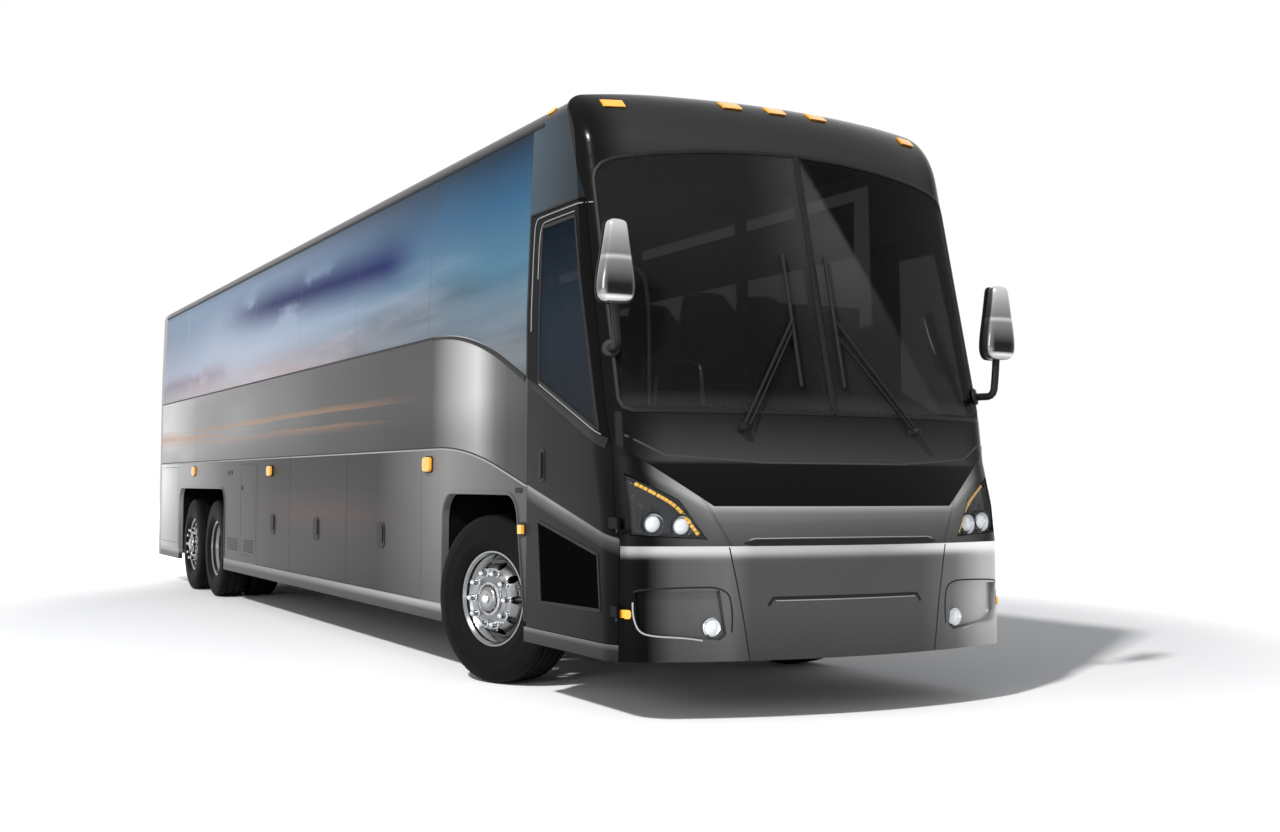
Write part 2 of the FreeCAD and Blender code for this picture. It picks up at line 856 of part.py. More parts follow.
def door_outline(gap):
    """The door seen from the side: its front edge follows the corner line."""
    rear = door_rear
    return [
        (rear, door_bottom),
        (corner_low - gap, door_bottom),
        (corner_low - gap, bumper_top),
        (corner_belt - gap, corner_belt_height),
        (corner_head - gap, door_top),
        (rear, door_top),
    ]


door_zone = prism("door_zone", "xz", door_outline(door_gap), -SIDE, -1000)
door_blank = common("door_blank", shell, door_zone)


def lower_glass(name, lap):
    """The low window in the door, its top edge falling with the swoosh."""
    points = [
        (5690 + lap, 575 + lap),
        (6475 - lap, 585 + lap),
        (6440 - lap, 880 - lap),
        (5635 + lap, 1040 - lap),
    ]
    return prism(name, "xz", points, -SIDE, -1000)


door_pane_zones = [upper_glass("door_pane_upper", -1, 0), lower_glass("door_pane_lower", 0)]
door_panes = [common("door_pane_%d" % i, skin, zone) for i, zone in enumerate(door_pane_zones)]
door_holes = [upper_glass("door_hole_upper", -1, window_lap), lower_glass("door_hole_lower", window_lap)]


def hinge_leaf(name, height, edge):
    """The door's half of a hinge: a leaf on its outer face, an arm past its edge and a barrel."""
    z = (height + 1, height + hinge_barrel - 1)
    leaf = box(name + "_leaf", (edge - 40, edge), (-hinge_y - 9, -1250), z)
    leaf_shown = cut(name + "_leaf_shown", leaf, inner)
    arm = box(name + "_arm", (edge - 10, hinge_x - 4), (-hinge_y - 9, -hinge_y + 8), z)
    barrel = rod(name + "_barrel", "z", (hinge_x, -hinge_y, z[0]), hinge_outer, hinge_barrel - 2)
    return [leaf_shown, arm, barrel]


leaves = hinge_leaf("door_hinge_low", hinge_low, 6612) + hinge_leaf("door_hinge_high", hinge_high, 6574)
bore_radius = hinge_pin_radius + running_fit
bores = [
    rod("door_bore_%d" % i, "z", (hinge_x, -hinge_y, h - 30), bore_radius, hinge_barrel + 60)
    for i, h in enumerate((hinge_low, hinge_high))
]
handle_recess = box("door_handle_recess", (5650, 5715), (-SIDE, -half_width + 22), (1270, 1450))
door_openings = [group("door_panes", *door_panes), group("door_holes", *door_holes)]
door_carved = cut("door_carved", door_blank, *door_openings)
door_full = fuse("door_full", cut("door_with_recess", door_carved, handle_recess), *leaves)
piece("entry_door", cut("entry_door", door_full, group("door_bores", *bores)))
piece("entry_door_glass", group("entry_door_glass", *door_panes))

# Tail: cap with an engine door, and the rear bumper

tail_box = box("tail_box", (-half_length - 100, rear_joint), (-SIDE, SIDE), (640, HIGH))
tail_bumper_box = box("tail_bumper_box", (-half_length - 100, rear_joint), (-SIDE, SIDE), (LOW, 640))
tail_blank = common("tail_blank", shell, tail_box)
engine_span = (-engine_door_half_width, engine_door_half_width)
engine_hole_span = (engine_span[0] - door_gap, engine_span[1] + door_gap)
tail_x = (-half_length - 100, -half_length + 200)
engine_hole_z = (engine_door_low - door_gap, engine_door_high + door_gap)
engine_hole = box("engine_hole", tail_x, engine_hole_span, engine_hole_z)
engine_zone = box("engine_zone", tail_x, engine_span, (engine_door_low, engine_door_high))
tail_hinge_x = -half_length - 5
tail_hinge_z = engine_door_high + door_gap / 2
tail_relief = hinge_outer + door_gap


def cap_hinge(sign):
    """A lug on the cap above the engine door, with the pin that the door's barrel turns on."""
    name = "cap_hinge_%s" % sign
    lug_y = across(sign, 570, 590)
    low_z = engine_door_high + door_gap + 2
    lug_zone = box(name + "_zone", (tail_hinge_x - 6, tail_hinge_x + 60), lug_y, (low_z, low_z + 36))
    lug = cut(name + "_lug", lug_zone, inner)
    boss = rod(name + "_boss", "y", (tail_hinge_x, lug_y[0], tail_hinge_z), hinge_outer, 20)
    pin_start = (tail_hinge_x, across(sign, 530, 580)[0], tail_hinge_z)
    pin = rod(name + "_pin", "y", pin_start, hinge_pin_radius, 50)
    return [lug, boss, pin]


def door_hinge(sign):
    """The engine door's half of a hinge: a leaf on its outer face and a barrel round the pin."""
    name = "tail_door_hinge_%s" % sign
    y = across(sign, 534, 566)
    leaf_z = (engine_door_high - 40, tail_hinge_z)
    leaf_zone = box(name + "_zone", (tail_hinge_x - 5, tail_hinge_x + 50), y, leaf_z)
    leaf = cut(name + "_leaf", leaf_zone, under_bumper)
    barrel = rod(name + "_barrel", "y", (tail_hinge_x, y[0], tail_hinge_z), hinge_outer, 32)
    return [leaf, barrel]


def hinge_relief(name, near, far):
    """Round reliefs on the hinge axis, where the other half's barrel or boss turns."""
    rods = []
    for sign in (-1, 1):
        start = (tail_hinge_x, across(sign, near, far)[0], tail_hinge_z)
        rods.append(rod("%s_%s" % (name, sign), "y", start, tail_relief, far - near))
    return rods


cap = cut("cap", tail_blank, engine_hole, *hinge_relief("cap_relief", 529, 570))
piece("rear_cap", fuse("rear_cap", cap, *(cap_hinge(-1) + cap_hinge(1))))
piece("rear_bumper", common("rear_bumper", bumper_shell, tail_bumper_box))
engine_blank = common("engine_blank", tail_blank, engine_zone)
engine_panel = cut("engine_panel", engine_blank, *hinge_relief("door_relief", 525, 595))
engine_full = fuse("engine_full", engine_panel, *(door_hinge(-1) + door_hinge(1)))
tail_bores = []
for sign in (-1, 1):
    start = (tail_hinge_x, across(sign, 500, 600)[0], tail_hinge_z)
    tail_bores.append(rod("tail_bore_%s" % sign, "y", start, bore_radius, 100))
piece("engine_door", cut("engine_door", engine_full, group("tail_bores", *tail_bores)))

# Luggage bays: six doors on swinging arms, three a side

bays = [
    ("front", bay_split_front, bay_front),
    ("middle", bay_split_rear, bay_split_front),
    ("rear", bay_rear, bay_split_rear),
]
door_pivot_height = arm_pivot_height - arm_length


def bay_door(bay, rear, front, sign):
    """A bay door: the whole wall between its seams, with lugs inside that the arms carry."""
    tag = "left" if sign > 0 else "right"
    name = "bay_door_%s_%s" % (bay, tag)
    low_x = rear + door_gap / 2
    high_x = front - door_gap / 2
    z = (rail_top + door_gap, bag_line - door_gap)
    zone = box(name + "_zone", (low_x, high_x), across(sign, 1000, SIDE), z)
    panel = common(name + "_panel", flank, zone)
    middle = (rear + front) / 2
    recess_y = across(sign, half_width - 18, SIDE)
    recess = box(name + "_recess", (middle - 24, middle + 24), recess_y, (800, 930))
    lugs = []
    for end, (x, inward) in enumerate(((rear + arm_inset, 1), (front - arm_inset, -1))):
        near = x + inward * (arm_half + 1)
        far = near + inward * 14
        x_span = (near, far) if inward > 0 else (far, near)
        y_span = across(sign, arm_plane - lug_radius, half_width - wall + 1)
        z_span = (door_pivot_height - lug_radius, door_pivot_height + lug_radius)
        lug = box("%s_lug_%d" % (name, end), x_span, y_span, z_span)
        start = x - inward * (arm_half + 3)
        pin_low = start if inward > 0 else start - (arm_half * 2 + 8)
        pin = rod(
            "%s_pin_%d" % (name, end),
            "x",
            (pin_low, arm_plane * sign, door_pivot_height),
            arm_pin_radius * 0.75,
            arm_half * 2 + 8,
        )
        lugs += [lug, pin]
    return piece(name, fuse(name, cut(name + "_carved", panel, recess), *lugs))


def bay_arms(bay, rear, front, sign):
    """Two arms on a cross tube: they hang from pins on the bulkheads and carry a door."""
    tag = "left" if sign > 0 else "right"
    name = "bay_arms_%s_%s" % (bay, tag)
    y = arm_plane * sign
    low = rear + bulkhead / 2 + 3
    high = front - bulkhead / 2 - 3
    tube = rod(name + "_tube", "x", (low, y, arm_pivot_height), arm_pin_radius + 8, high - low)
    parts = [tube]
    bores = []
    for end, x in enumerate((rear + arm_inset, front - arm_inset)):
        plate = box(
            "%s_plate_%d" % (name, end),
            (x - arm_half, x + arm_half),
            (y - lug_radius, y + lug_radius),
            (door_pivot_height, arm_pivot_height),
        )
        eye = rod(
            "%s_eye_%d" % (name, end),
            "x",
            (x - arm_half, y, door_pivot_height),
            lug_radius,
            arm_half * 2,
        )
        parts += [plate, eye]
        bores.append(
            rod(
                "%s_bore_%d" % (name, end),
                "x",
                (x - arm_half - 10, y, door_pivot_height),
                arm_pin_radius * 0.75 + running_fit,
                arm_half * 2 + 20,
            )
        )
    hubs = [
        rod(name + "_hub_rear", "x", (low - 10, y, arm_pivot_height), arm_pin_radius + running_fit, 55),
        rod(name + "_hub_front", "x", (high - 45, y, arm_pivot_height), arm_pin_radius + running_fit, 55),
    ]
    solid = fuse(name + "_solid", *parts)
    return piece(name, cut(name, solid, group(name + "_bores", *(bores + hubs))))


def bay_pins(bay, rear, front, sign):
    """The pins on the bulkheads that the arms of one door turn on."""
    tag = "left" if sign > 0 else "right"
    name = "bay_pins_%s_%s" % (bay, tag)
    y = arm_plane * sign
    start = rear + bulkhead / 2 - 2
    stop = front - bulkhead / 2 - 40
    return [
        rod(name + "_rear", "x", (start, y, arm_pivot_height), arm_pin_radius, 42),
        rod(name + "_front", "x", (stop, y, arm_pivot_height), arm_pin_radius, 42),
    ]


pins = []
for bay, rear, front in bays:
    for sign in (-1, 1):
        bay_door(bay, rear, front, sign)
        bay_arms(bay, rear, front, sign)
        pins += bay_pins(bay, rear, front, sign)

# Bay floor, and the bulkheads that stand on it with the pins of the door arms

clear_of_doors = half_width - wall - 12
wide = (-SIDE, SIDE)
inside_y = (-clear_of_doors, clear_of_doors)
inside = common("inside", inner, box("inside_box", (-half_length, half_length), inside_y, (LOW, HIGH)))
last_bulkhead = rear_arch_front + 20
bay_floor_x = (last_bulkhead - bulkhead / 2, bay_front + bulkhead / 2)
bay_floor_box = box("bay_floor_box", bay_floor_x, wide, (bay_floor_top - 40, bay_floor_top))
piece("bay_floor", common("bay_floor", inner, bay_floor_box))
floor_low = floor_top - floor_thickness
plates = []
bulkhead_places = (bay_front, bay_split_front, bay_split_rear, bay_rear, panel_split, last_bulkhead)
for number, x in enumerate(bulkhead_places):
    x_span = (x - bulkhead / 2, x + bulkhead / 2)
    plate = box("bulkhead_%d" % number, x_span, wide, (bay_floor_top + seat_gap, floor_low))
    plates.append(common("bulkhead_inside_%d" % number, plate, inside))
piece("bulkheads", fuse("bulkheads", *(plates + pins)))

# Wheel houses: plates over and behind the tyres

house_x = (front_arch_rear - 20, front_arch_front + 20)
tail_house_x = (rear_arch_rear - 5, bay_floor_x[0] - seat_gap)
house_z = (arch_top + 5, arch_top + 15)
wall_z = (rail_top, floor_low)
house_plates = []
for sign in (-1, 1):
    house_y = across(sign, 555, SIDE)
    wall_y = across(sign, rail_outer + seat_gap, SIDE)
    inner_y = across(sign, 545, 555)
    end_x = (front_arch_rear - 20, front_arch_rear - 10)
    tail_end_x = (rear_arch_rear - 15, rear_arch_rear - 5)
    house_plates += [
        box("house_top_%s" % sign, house_x, house_y, house_z),
        box("house_wall_%s" % sign, house_x, inner_y, (rail_high - 30, arch_top + 15)),
        box("house_rear_%s" % sign, end_x, wall_y, wall_z),
        box("tail_house_%s" % sign, tail_house_x, house_y, house_z),
        box("tail_wall_%s" % sign, tail_end_x, wall_y, wall_z),
    ]
piece("wheel_houses", common("wheel_houses", fuse("house_plates", *house_plates), inside))

# Underframe: two pairs of rails, before and behind the bays, and the engine's bed

bed_top = 600
rail_z = (rail_low, rail_high)
frame_parts = []
for sign in (-1, 1):
    rail_y = across(sign, rail_inner, rail_outer)
    frame_parts += [
        box("rail_rear_%s" % sign, (-half_length + 80, bay_floor_x[0] - seat_gap), rail_y, rail_z),
        box("rail_front_%s" % sign, (bay_floor_x[1] + seat_gap, half_length - 120), rail_y, rail_z),
    ]
rails_apart = (-rail_outer, rail_outer)
frame_parts += [
    box("cross_front", (6180, 6240), rails_apart, rail_z),
    box("cross_axle", (5480, 5540), rails_apart, rail_z),
    box("engine_bed", (-6400, -5500), rails_apart, (bed_top - 40, bed_top)),
    box("engine_hanger_rear", (-6400, -6340), rails_apart, (bed_top - 40, rail_low + 10)),
    box("engine_hanger_front", (-5560, -5500), rails_apart, (bed_top - 40, rail_low + 10)),
]
piece("underframe", common("underframe", fuse("frame_parts", *frame_parts), inside))

# Floors: passenger floor, driver's platform with the well behind it, and the entry steps

well_rear = 5100
well_side = 300
well_low = 1240
floor_parts = [
    box("passenger_floor", (-half_length + 300, well_rear + 30), wide, (floor_low, floor_top)),
    box("front_floor", (well_rear, 5420), (-SIDE, well_side), (floor_low, floor_top)),
    box("riser", (5400, 5430), (-SIDE, well_side), (platform_top - 40, floor_top)),
    box("well_floor", (well_rear, 5430), (well_side - 10, SIDE), (well_low - 35, well_low)),
    box("well_back", (well_rear, well_rear + 30), (well_side - 10, SIDE), (well_low - 35, floor_top)),
    box("well_riser", (5400, 5430), (well_side - 10, SIDE), (platform_top - 40, well_low)),
    box("well_wall", (well_rear, 5430), (well_side - 10, well_side), (well_low - 35, floor_top)),
    box("platform", (5400, 6460), (-460, SIDE), (platform_top - 40, platform_top)),
    box("step_wall", (5440, 5460), (-SIDE, -460), (380, floor_top)),
    box("step_low", (5440, 6460), (-SIDE, -980), (360, 400)),
    box("step_middle", (5440, 6460), (-990, -720), (360, 620)),
    box("step_high", (5440, 6460), (-730, -460), (360, 845)),
    box("step_riser", (5440, 6460), (-480, -460), (360, platform_top)),
]
floor_solid = fuse("floor_solid", *floor_parts)
floor_inner = common("floor_inner", floor_solid, inside)
sill_parts = []
for sign in (-1, 1):
    x = (rear_joint + 100, 5430)
    sill_top = bag_line + 50
    low_y = across(sign, 1190, clear_of_doors)
    low_sill = box("floor_sill_low_%s" % sign, x, low_y, (floor_top - 5, sill_top))
    high_sill = box("floor_sill_box_%s" % sign, x, across(sign, 1190, SIDE), (bag_line + 3, sill_top))
    sill_parts += [low_sill, common("floor_sill_%s" % sign, inner, high_sill)]
piece("cabin_floor", fuse("cabin_floor", floor_inner, *sill_parts))

# Engine: one block at its real place
piece("engine", box("engine", (-6335, -5565), (-395, 395), (bed_top + seat_gap, 1400)))

# Wheels: one for each single, and a pair back to back on the drive axle

hub_clearance = spindle_radius + running_fit
hand_holes = 10


def rim_points(side, centre, face):
    """A rim with its well, and a disc that swells from the well to a flat face."""
    face = length(face)
    points = [
        (rim_radius, -122),
        (rim_radius, -114),
        (bead_radius, -112),
        (bead_radius, -80),
        (bead_radius - 34, -55),
        (bead_radius - 34, 45),
        (bead_radius, 75),
        (bead_radius, 112),
        (rim_radius, 114),
        (rim_radius, 122),
        (rim_radius - 11, 122),
        (bead_radius - 10, 108),
        (bead_radius - 10, 84),
        (bead_radius - 42, 56),
        (bead_radius - 54, face / 2 + 14, "mid"),
        (192, face),
    ]
    inner_points = [
        (184, face - 22),
        (bead_radius - 72, face / 2 + 14, "mid"),
        (bead_radius - 56, 20),
        (bead_radius - 44, 12),
        (bead_radius - 44, -52),
        (bead_radius - 11, -78),
        (bead_radius - 11, -110),
        (rim_radius - 11, -122),
    ]
    hub_reach = [(60, face), (60, face - 22)]
    return [
        (p[0], (centre + side * p[1])) + tuple(p[2:]) for p in points + hub_reach + inner_points
    ]


def hole_ring(name, x, y, low, high):
    """Hand holes round a disc, bored along the axle."""
    holes = []
    for number in range(hand_holes):
        angle = 2 * math.pi * number / hand_holes
        start = (
            x + hand_hole_circle * math.cos(angle),
            y + low,
            tyre_radius + hand_hole_circle * math.sin(angle),
        )
        holes.append(rod("%s_hole_%d" % (name, number), "y", start, hand_hole_radius, high - low))
    return group(name + "_holes", *holes)


def single_wheel(name, x, sign):
    """A steer or tag wheel: its disc swells outwards and ends in a hub with a cap."""
    at = (x, single_track * sign, tyre_radius)
    rim = turned(name + "_rim", rim_points(sign, 0, 128), at)
    hub_points = [
        (0, 176),
        (52, 176),
        (74, 168, "mid"),
        (84, 150),
        (104, 136),
        (150, 130),
        (150, 104),
        (120, 100),
        (120, -40),
        (hub_clearance, -40),
        (hub_clearance, 124),
        (0, 124),
    ]
    hub = turned(name + "_hub", [(p[0], p[1] * sign) + tuple(p[2:]) for p in hub_points], at)
    low, high = across(sign, 30, 140)
    solid = fuse(name + "_solid", rim, hub)
    return cut(name, solid, hole_ring(name, x, single_track * sign, low, high))


def dual_wheel(name, x, sign):
    """Two wheels with their discs back to back, and the drive hub standing out of the deep dish."""
    at = (x, dual_track * sign, tyre_radius)
    half = dual_spacing / 2
    outer_rim = turned(name + "_outer", rim_points(-sign, half * sign, half), at)
    inner_rim = turned(name + "_inner", rim_points(sign, -half * sign, half), at)
    centre = dual_track * sign
    outer_holes = hole_ring(name + "_outer", x, centre, *across(sign, -10, half - 12))
    inner_holes = hole_ring(name + "_inner", x, centre, *across(-sign, -10, half - 12))
    outer_half = cut(name + "_outer_half", outer_rim, outer_holes)
    inner_half = cut(name + "_inner_half", inner_rim, inner_holes)
    hub_points = [
        (0, 132),
        (56, 132),
        (72, 126, "mid"),
        (80, 112),
        (96, 60),
        (150, 40),
        (150, -40),
        (130, -60),
        (dual_spindle + running_fit, -60),
        (dual_spindle + running_fit, 52),
        (0, 52),
    ]
    hub = turned(name + "_hub", [(p[0], p[1] * sign) + tuple(p[2:]) for p in hub_points], at)
    return fuse(name, outer_half, inner_half, hub)


def tyre(name, x, y):
    """A tyre with bulging walls, round shoulders and a slightly crowned tread."""
    half = tyre_half_width
    bead = bead_radius + seat_gap
    wall_up = [
        (bead, 110),
        (rim_radius + 1.5, 112),
        (rim_radius + 4, 128),
        (rim_radius + 95, half, "mid"),
        (tyre_radius - 40, half - 11),
        (tyre_radius - 10, half - 25, "mid"),
        (tyre_radius - 2, half - 46),
    ]
    wall_down = [(p[0], -length(p[1])) + tuple(p[2:]) for p in reversed(wall_up)]
    points = wall_up + [(tyre_radius, 0, "mid")] + wall_down
    return turned(name, points, (x, y, tyre_radius))


def steer(obj, sign):
    """Turn an object about its kingpin to the angle at which the wheels stand."""
    pivot = V(float(front_axle_x), float(kingpin_track) * sign, 0)
    obj.Placement = FreeCAD.Placement(V(), FreeCAD.Rotation(V(0, 0, 1), steer_at_rest), pivot)
    return obj


for sign, side in ((-1, "right"), (1, "left")):
    piece("wheel_front_" + side, steer(single_wheel("wheel_front_" + side, front_axle_x, sign), sign))
    front_tyre = tyre("tyre_front_" + side, front_axle_x, single_track * sign)
    piece("tyre_front_" + side, steer(front_tyre, sign))
    piece("wheel_drive_" + side, dual_wheel("wheel_drive_" + side, drive_axle_x, sign))
    outer_tyre = tyre("tyre_drive_outer_" + side, drive_axle_x, (dual_track + dual_spacing / 2) * sign)
    inner_tyre = tyre("tyre_drive_inner_" + side, drive_axle_x, (dual_track - dual_spacing / 2) * sign)
    piece("tyre_drive_" + side, group("tyre_drive_" + side, outer_tyre, inner_tyre))
    piece("wheel_tag_" + side, single_wheel("wheel_tag_" + side, tag_axle_x, sign))
    piece("tyre_tag_" + side, tyre("tyre_tag_" + side, tag_axle_x, single_track * sign))

# Axles with their air springs and rods

beam_x = (front_axle_x - 55, front_axle_x + 55)
beam = [box("front_beam", beam_x, (-kingpin_track, kingpin_track), (470, 560))]
eye_bores = []
for sign in (-1, 1):
    at = (front_axle_x, kingpin_track * sign, 450)
    beam.append(rod("front_eye_%s" % sign, "z", at, 50, 160))
    bore_at = (front_axle_x, kingpin_track * sign, 400)
    eye_bores.append(rod("front_bore_%s" % sign, "z", bore_at, kingpin_radius + running_fit, 300))
    spring_at = (front_axle_x, 430 * sign, 550)
    beam.append(rod("front_spring_%s" % sign, "z", spring_at, 100, rail_low - 550))
    rod_start = (bay_front + bulkhead / 2, 300 * sign, 500)
    beam.append(rod("front_rod_%s" % sign, "x", rod_start, 20, front_axle_x - rod_start[0]))
front_axle_solid = fuse("front_axle_solid", *beam)
piece("front_axle", cut("front_axle", front_axle_solid, group("eye_bores", *eye_bores)))


def knuckle(side, sign):
    """A yoke round the beam's eye, with the kingpin, the wheel's spindle and the steering arm."""
    name = "knuckle_" + side
    x = front_axle_x
    y = kingpin_track * sign
    x_span = (x - 45, x + 45)
    parts = [
        rod(name + "_kingpin", "z", (x, y, 430), kingpin_radius, 200),
        box(name + "_upper", x_span, across(sign, kingpin_track - 45, kingpin_track + 80), (613, 640)),
        box(name + "_lower", x_span, across(sign, kingpin_track - 45, kingpin_track + 80), (420, 447)),
        box(name + "_web", x_span, across(sign, kingpin_track + 56, kingpin_track + 80), (420, 640)),
        box(name + "_arm", (x - arm_reach - 20, x - 30), (y - 20, y + 20), (422, 445)),
        rod(name + "_ball", "z", (x - arm_reach, y, tie_rod_height - 16), ball_radius, 45),
    ]
    low, high = across(sign, kingpin_track + 70, single_track + 120)
    parts.append(rod(name + "_spindle", "y", (x, low, tyre_radius), spindle_radius, high - low))
    return piece(name, steer(fuse(name, *parts), sign))


for side, sign in (("left", 1), ("right", -1)):
    knuckle(side, sign)

rest_turn = math.radians(steer_at_rest)
rod_x = front_axle_x - arm_reach * math.cos(rest_turn)
rod_shift = -arm_reach * math.sin(rest_turn)
tie_parts = []
tie_bores = []
for side, sign in (("left", 1), ("right", -1)):
    y = kingpin_track * sign + rod_shift
    tie_parts.append(rod("tie_eye_" + side, "z", (rod_x, y, tie_rod_height - 15), 24, 30))
    bore_at = (rod_x, y, tie_rod_height - 30)
    tie_bores.append(rod("tie_bore_" + side, "z", bore_at, ball_radius + running_fit, 60))
tie_start = (rod_x, -kingpin_track + rod_shift + 16, tie_rod_height)
tie_parts.append(rod("tie_bar", "y", tie_start, 14, kingpin_track * 2 - 32))
piece("tie_rod", cut("tie_rod", fuse("tie_rod_solid", *tie_parts), group("tie_bores", *tie_bores)))


def rear_axle(name, x, profile, rod_end, rod_y):
    """A turned axle housing that stands on two beams under four air springs, with two rods."""
    tip = profile[0][1]
    sweep = profile + [(p[0], -length(p[1])) for p in reversed(profile)]
    parts = [turned(name + "_tube", [(0, -tip), (0, tip)] + sweep, (x, 0, tyre_radius))]
    for sign in (-1, 1):
        y = across(sign, rail_inner, rail_outer)
        parts.append(box("%s_beam_%s" % (name, sign), (x - 380, x + 380), y, (400, 475)))
        for end in (-1, 1):
            spring = (x + 290 * end, sign * (rail_inner + rail_outer) / 2, 465)
            parts.append(rod("%s_spring_%s_%s" % (name, sign, end), "z", spring, 90, rail_low - 465))
        near = min((x, rod_end), key=float)
        far = max((x, rod_end), key=float)
        parts.append(rod("%s_rod_%s" % (name, sign), "x", (near, rod_y * sign, 600), 20, far - near))
    return piece(name, fuse(name, *parts))


drive_profile = [
    (dual_spindle, dual_track + 40),
    (dual_spindle, dual_track - 64),
    (75, dual_track - 64),
    (75, 330),
    (190, 170),
    (205, 90),
]
tag_profile = [
    (spindle_radius, single_track + 120),
    (spindle_radius, single_track - 44),
    (65, single_track - 44),
    (65, 100),
]
rear_axle("drive_axle", drive_axle_x, drive_profile, rear_arch_front + 20 - bulkhead / 2, 250)
rear_axle("tag_axle", tag_axle_x, tag_profile, rear_arch_rear - 5, 490)

# Cab: dashboard, steering wheel and seats

dash_points = [(6240, platform_top + seat_gap), (6440, platform_top + seat_gap), (6560, 1480)]
dash_points += [(6420, 1560), (6230, 1440)]
dash_block = prism("dash_block", "xz", dash_points, -450, 1120)
dash_blank = common("dash_blank", inner, dash_block)


def strut(start, stop, radius):
    """A round bar between two points."""
    run = V(*stop) - V(*start)
    return Part.makeCylinder(radius, run.Length, V(*start), run)


column_top = V(5985, 640, 1650)
column_foot = V(6260, 640, 1420)
column_radius = 26


def steering_wheel():
    """A ring on three spokes and a column that leans to the driver."""
    hub = column_top
    axis = (column_foot - hub).normalize()
    ring = Part.makeTorus(225, 15, hub, axis)
    solid = strut(hub, column_foot, column_radius).fuse(ring)
    across_axis = V(0, 1, 0)
    upward = axis.cross(across_axis)
    for angle in (0, math.pi, -math.pi / 2):
        tip = hub + (across_axis * math.cos(angle) + upward * math.sin(angle)) * 225
        solid = solid.fuse(strut(hub, tip, 11))
    return solid


piece("steering_wheel", shaped("steering_wheel", steering_wheel()))
column_hole = strut(column_top, column_foot, column_radius + float(seat_gap))
piece("dashboard", cut("dashboard", dash_blank, shaped("column_hole", column_hole)))


def seat_points(x, base):
    """A seat from the side: pedestal, cushion and a back that leans rearwards."""
    shape = [
        (-330, 0),
        (-150, 0),
        (-150, 290),
        (10, 330),
        (22, 390),
        (0, 440),
        (-420, 415),
        (-560, 1080),
        (-600, 1105),
        (-655, 1080),
        (-560, 310),
        (-330, 290),
    ]
    return [(x + px, base + seat_gap + pz) for px, pz in shape]


seat_rows = 13
seats = [prism("driver_seat", "xz", seat_points(length(5790), platform_top), 400, 890)]
for row in range(seat_rows):
    for sign in (-1, 1):
        span = across(sign, 260, 1150)
        points = seat_points(first_seat - seat_pitch * row, floor_top)
        seats.append(prism("seat_%d_%s" % (row, sign), "xz", points, *span))
piece("seats", group("seats", *seats))

# Lamps, mirrors and wipers

under_lens = shaped("body_under_lens", body_form(4.0))
lamp_sides = 24


def face_lamp(name, y, z, radius):
    """A round lamp that follows the face of the body and stands on the floor of its pocket."""
    turns = [2 * math.pi * number / lamp_sides for number in range(lamp_sides)]
    points = [(y + radius * math.cos(turn), z + radius * math.sin(turn)) for turn in turns]
    zone = prism(name + "_zone", "yz", points, half_length - 420, ahead)
    return cut(name, common(name + "_block", under_lens, zone), under_lamps)


lamp_places = [("inner", 945, 1033, 57), ("outer", 1090, 1045, 62), ("fog", 800, 505, 42)]
front_lamps = []
for sign in (-1, 1):
    for name, y, z, radius in lamp_places:
        front_lamps.append(face_lamp("lamp_%s_%s" % (name, sign), y * sign, z, radius))
piece("front_lamps", group("front_lamps", *front_lamps))

proud = shaped("body_proud", body_form(-14.0, float(dome_rise)))
proud_skin = cut("proud_skin", proud, raised)
markers = []
roof_lamps = [(-1030, 3400), (-300, 3455), (0, 3455), (300, 3455), (1030, 3400)]
for number, (y, z) in enumerate(roof_lamps):
    zone = box("roof_lamp_zone_%d" % number, (5850, 6500), (y - 58, y + 58), (z, z + 48))
    markers.append(common("roof_lamp_%d" % number, proud_skin, zone))
side_proud = shaped("body_side_proud", body_form(-26.0))
side_skin = cut("side_skin", side_proud, outer)
side_lamps = [(3744, 1385, 34, 45), (-4424, 1385, 34, 45), (5420, 985, 30, 26)]
for sign in (-1, 1):
    for number, (x, z, half_x, half_z) in enumerate(side_lamps):
        name = "side_lamp_%s_%d" % (sign, number)
        x_span = (x - half_x, x + half_x)
        zone = box(name + "_zone", x_span, across(sign, 1000, SIDE), (z - half_z, z + half_z))
        markers.append(common(name, side_skin, zone))
piece("marker_lamps", group("marker_lamps", *markers))

tail_lamps = []
for sign in (-1, 1):
    lamp_x = (-half_length - 60, -half_length + 90)
    zone = box("tail_lamp_zone_%s" % sign, lamp_x, across(sign, 960, 1120), (880, 1520))
    tail_lamps.append(common("tail_lamp_%s" % sign, side_skin, zone))
piece("tail_lamps", group("tail_lamps", *tail_lamps))


def face_point(y, z, out):
    """A point at a height and a distance from the middle that stands out of the face by some way."""
    slopes = [(float(x), float(height)) for x, height in FACE_SLOPES]
    spans = [span for span in zip(slopes, slopes[1:]) if span[0][1] <= z <= span[1][1]]
    low, high = spans[0]
    slope = (high[0] - low[0]) / (high[1] - low[1])
    radius = float(face_radius)
    depth = math.sqrt(radius ** 2 - y ** 2)
    x = low[0] + slope * (z - low[1]) - radius + depth
    return V(x, y, z) + V(1, y / depth, -slope).normalize() * out


def wiper(pivot_y, blade_y):
    """An arm from a spindle below the glass to an upright blade."""
    spindle = strut(face_point(pivot_y, 1560, float(seat_gap)), face_point(pivot_y, 1560, 50), 16)
    arm = strut(face_point(pivot_y, 1560, 38), face_point(blade_y, 2170, 34), 8)
    blade = strut(face_point(blade_y, 1790, 24), face_point(blade_y, 2550, 24), 10)
    return spindle.fuse(arm).fuse(blade)


wipers = [shaped("wiper_right", wiper(-580, -200)), shaped("wiper_left", wiper(560, 80))]
piece("wipers", group("wipers", *wipers))


mirror_drop = 190


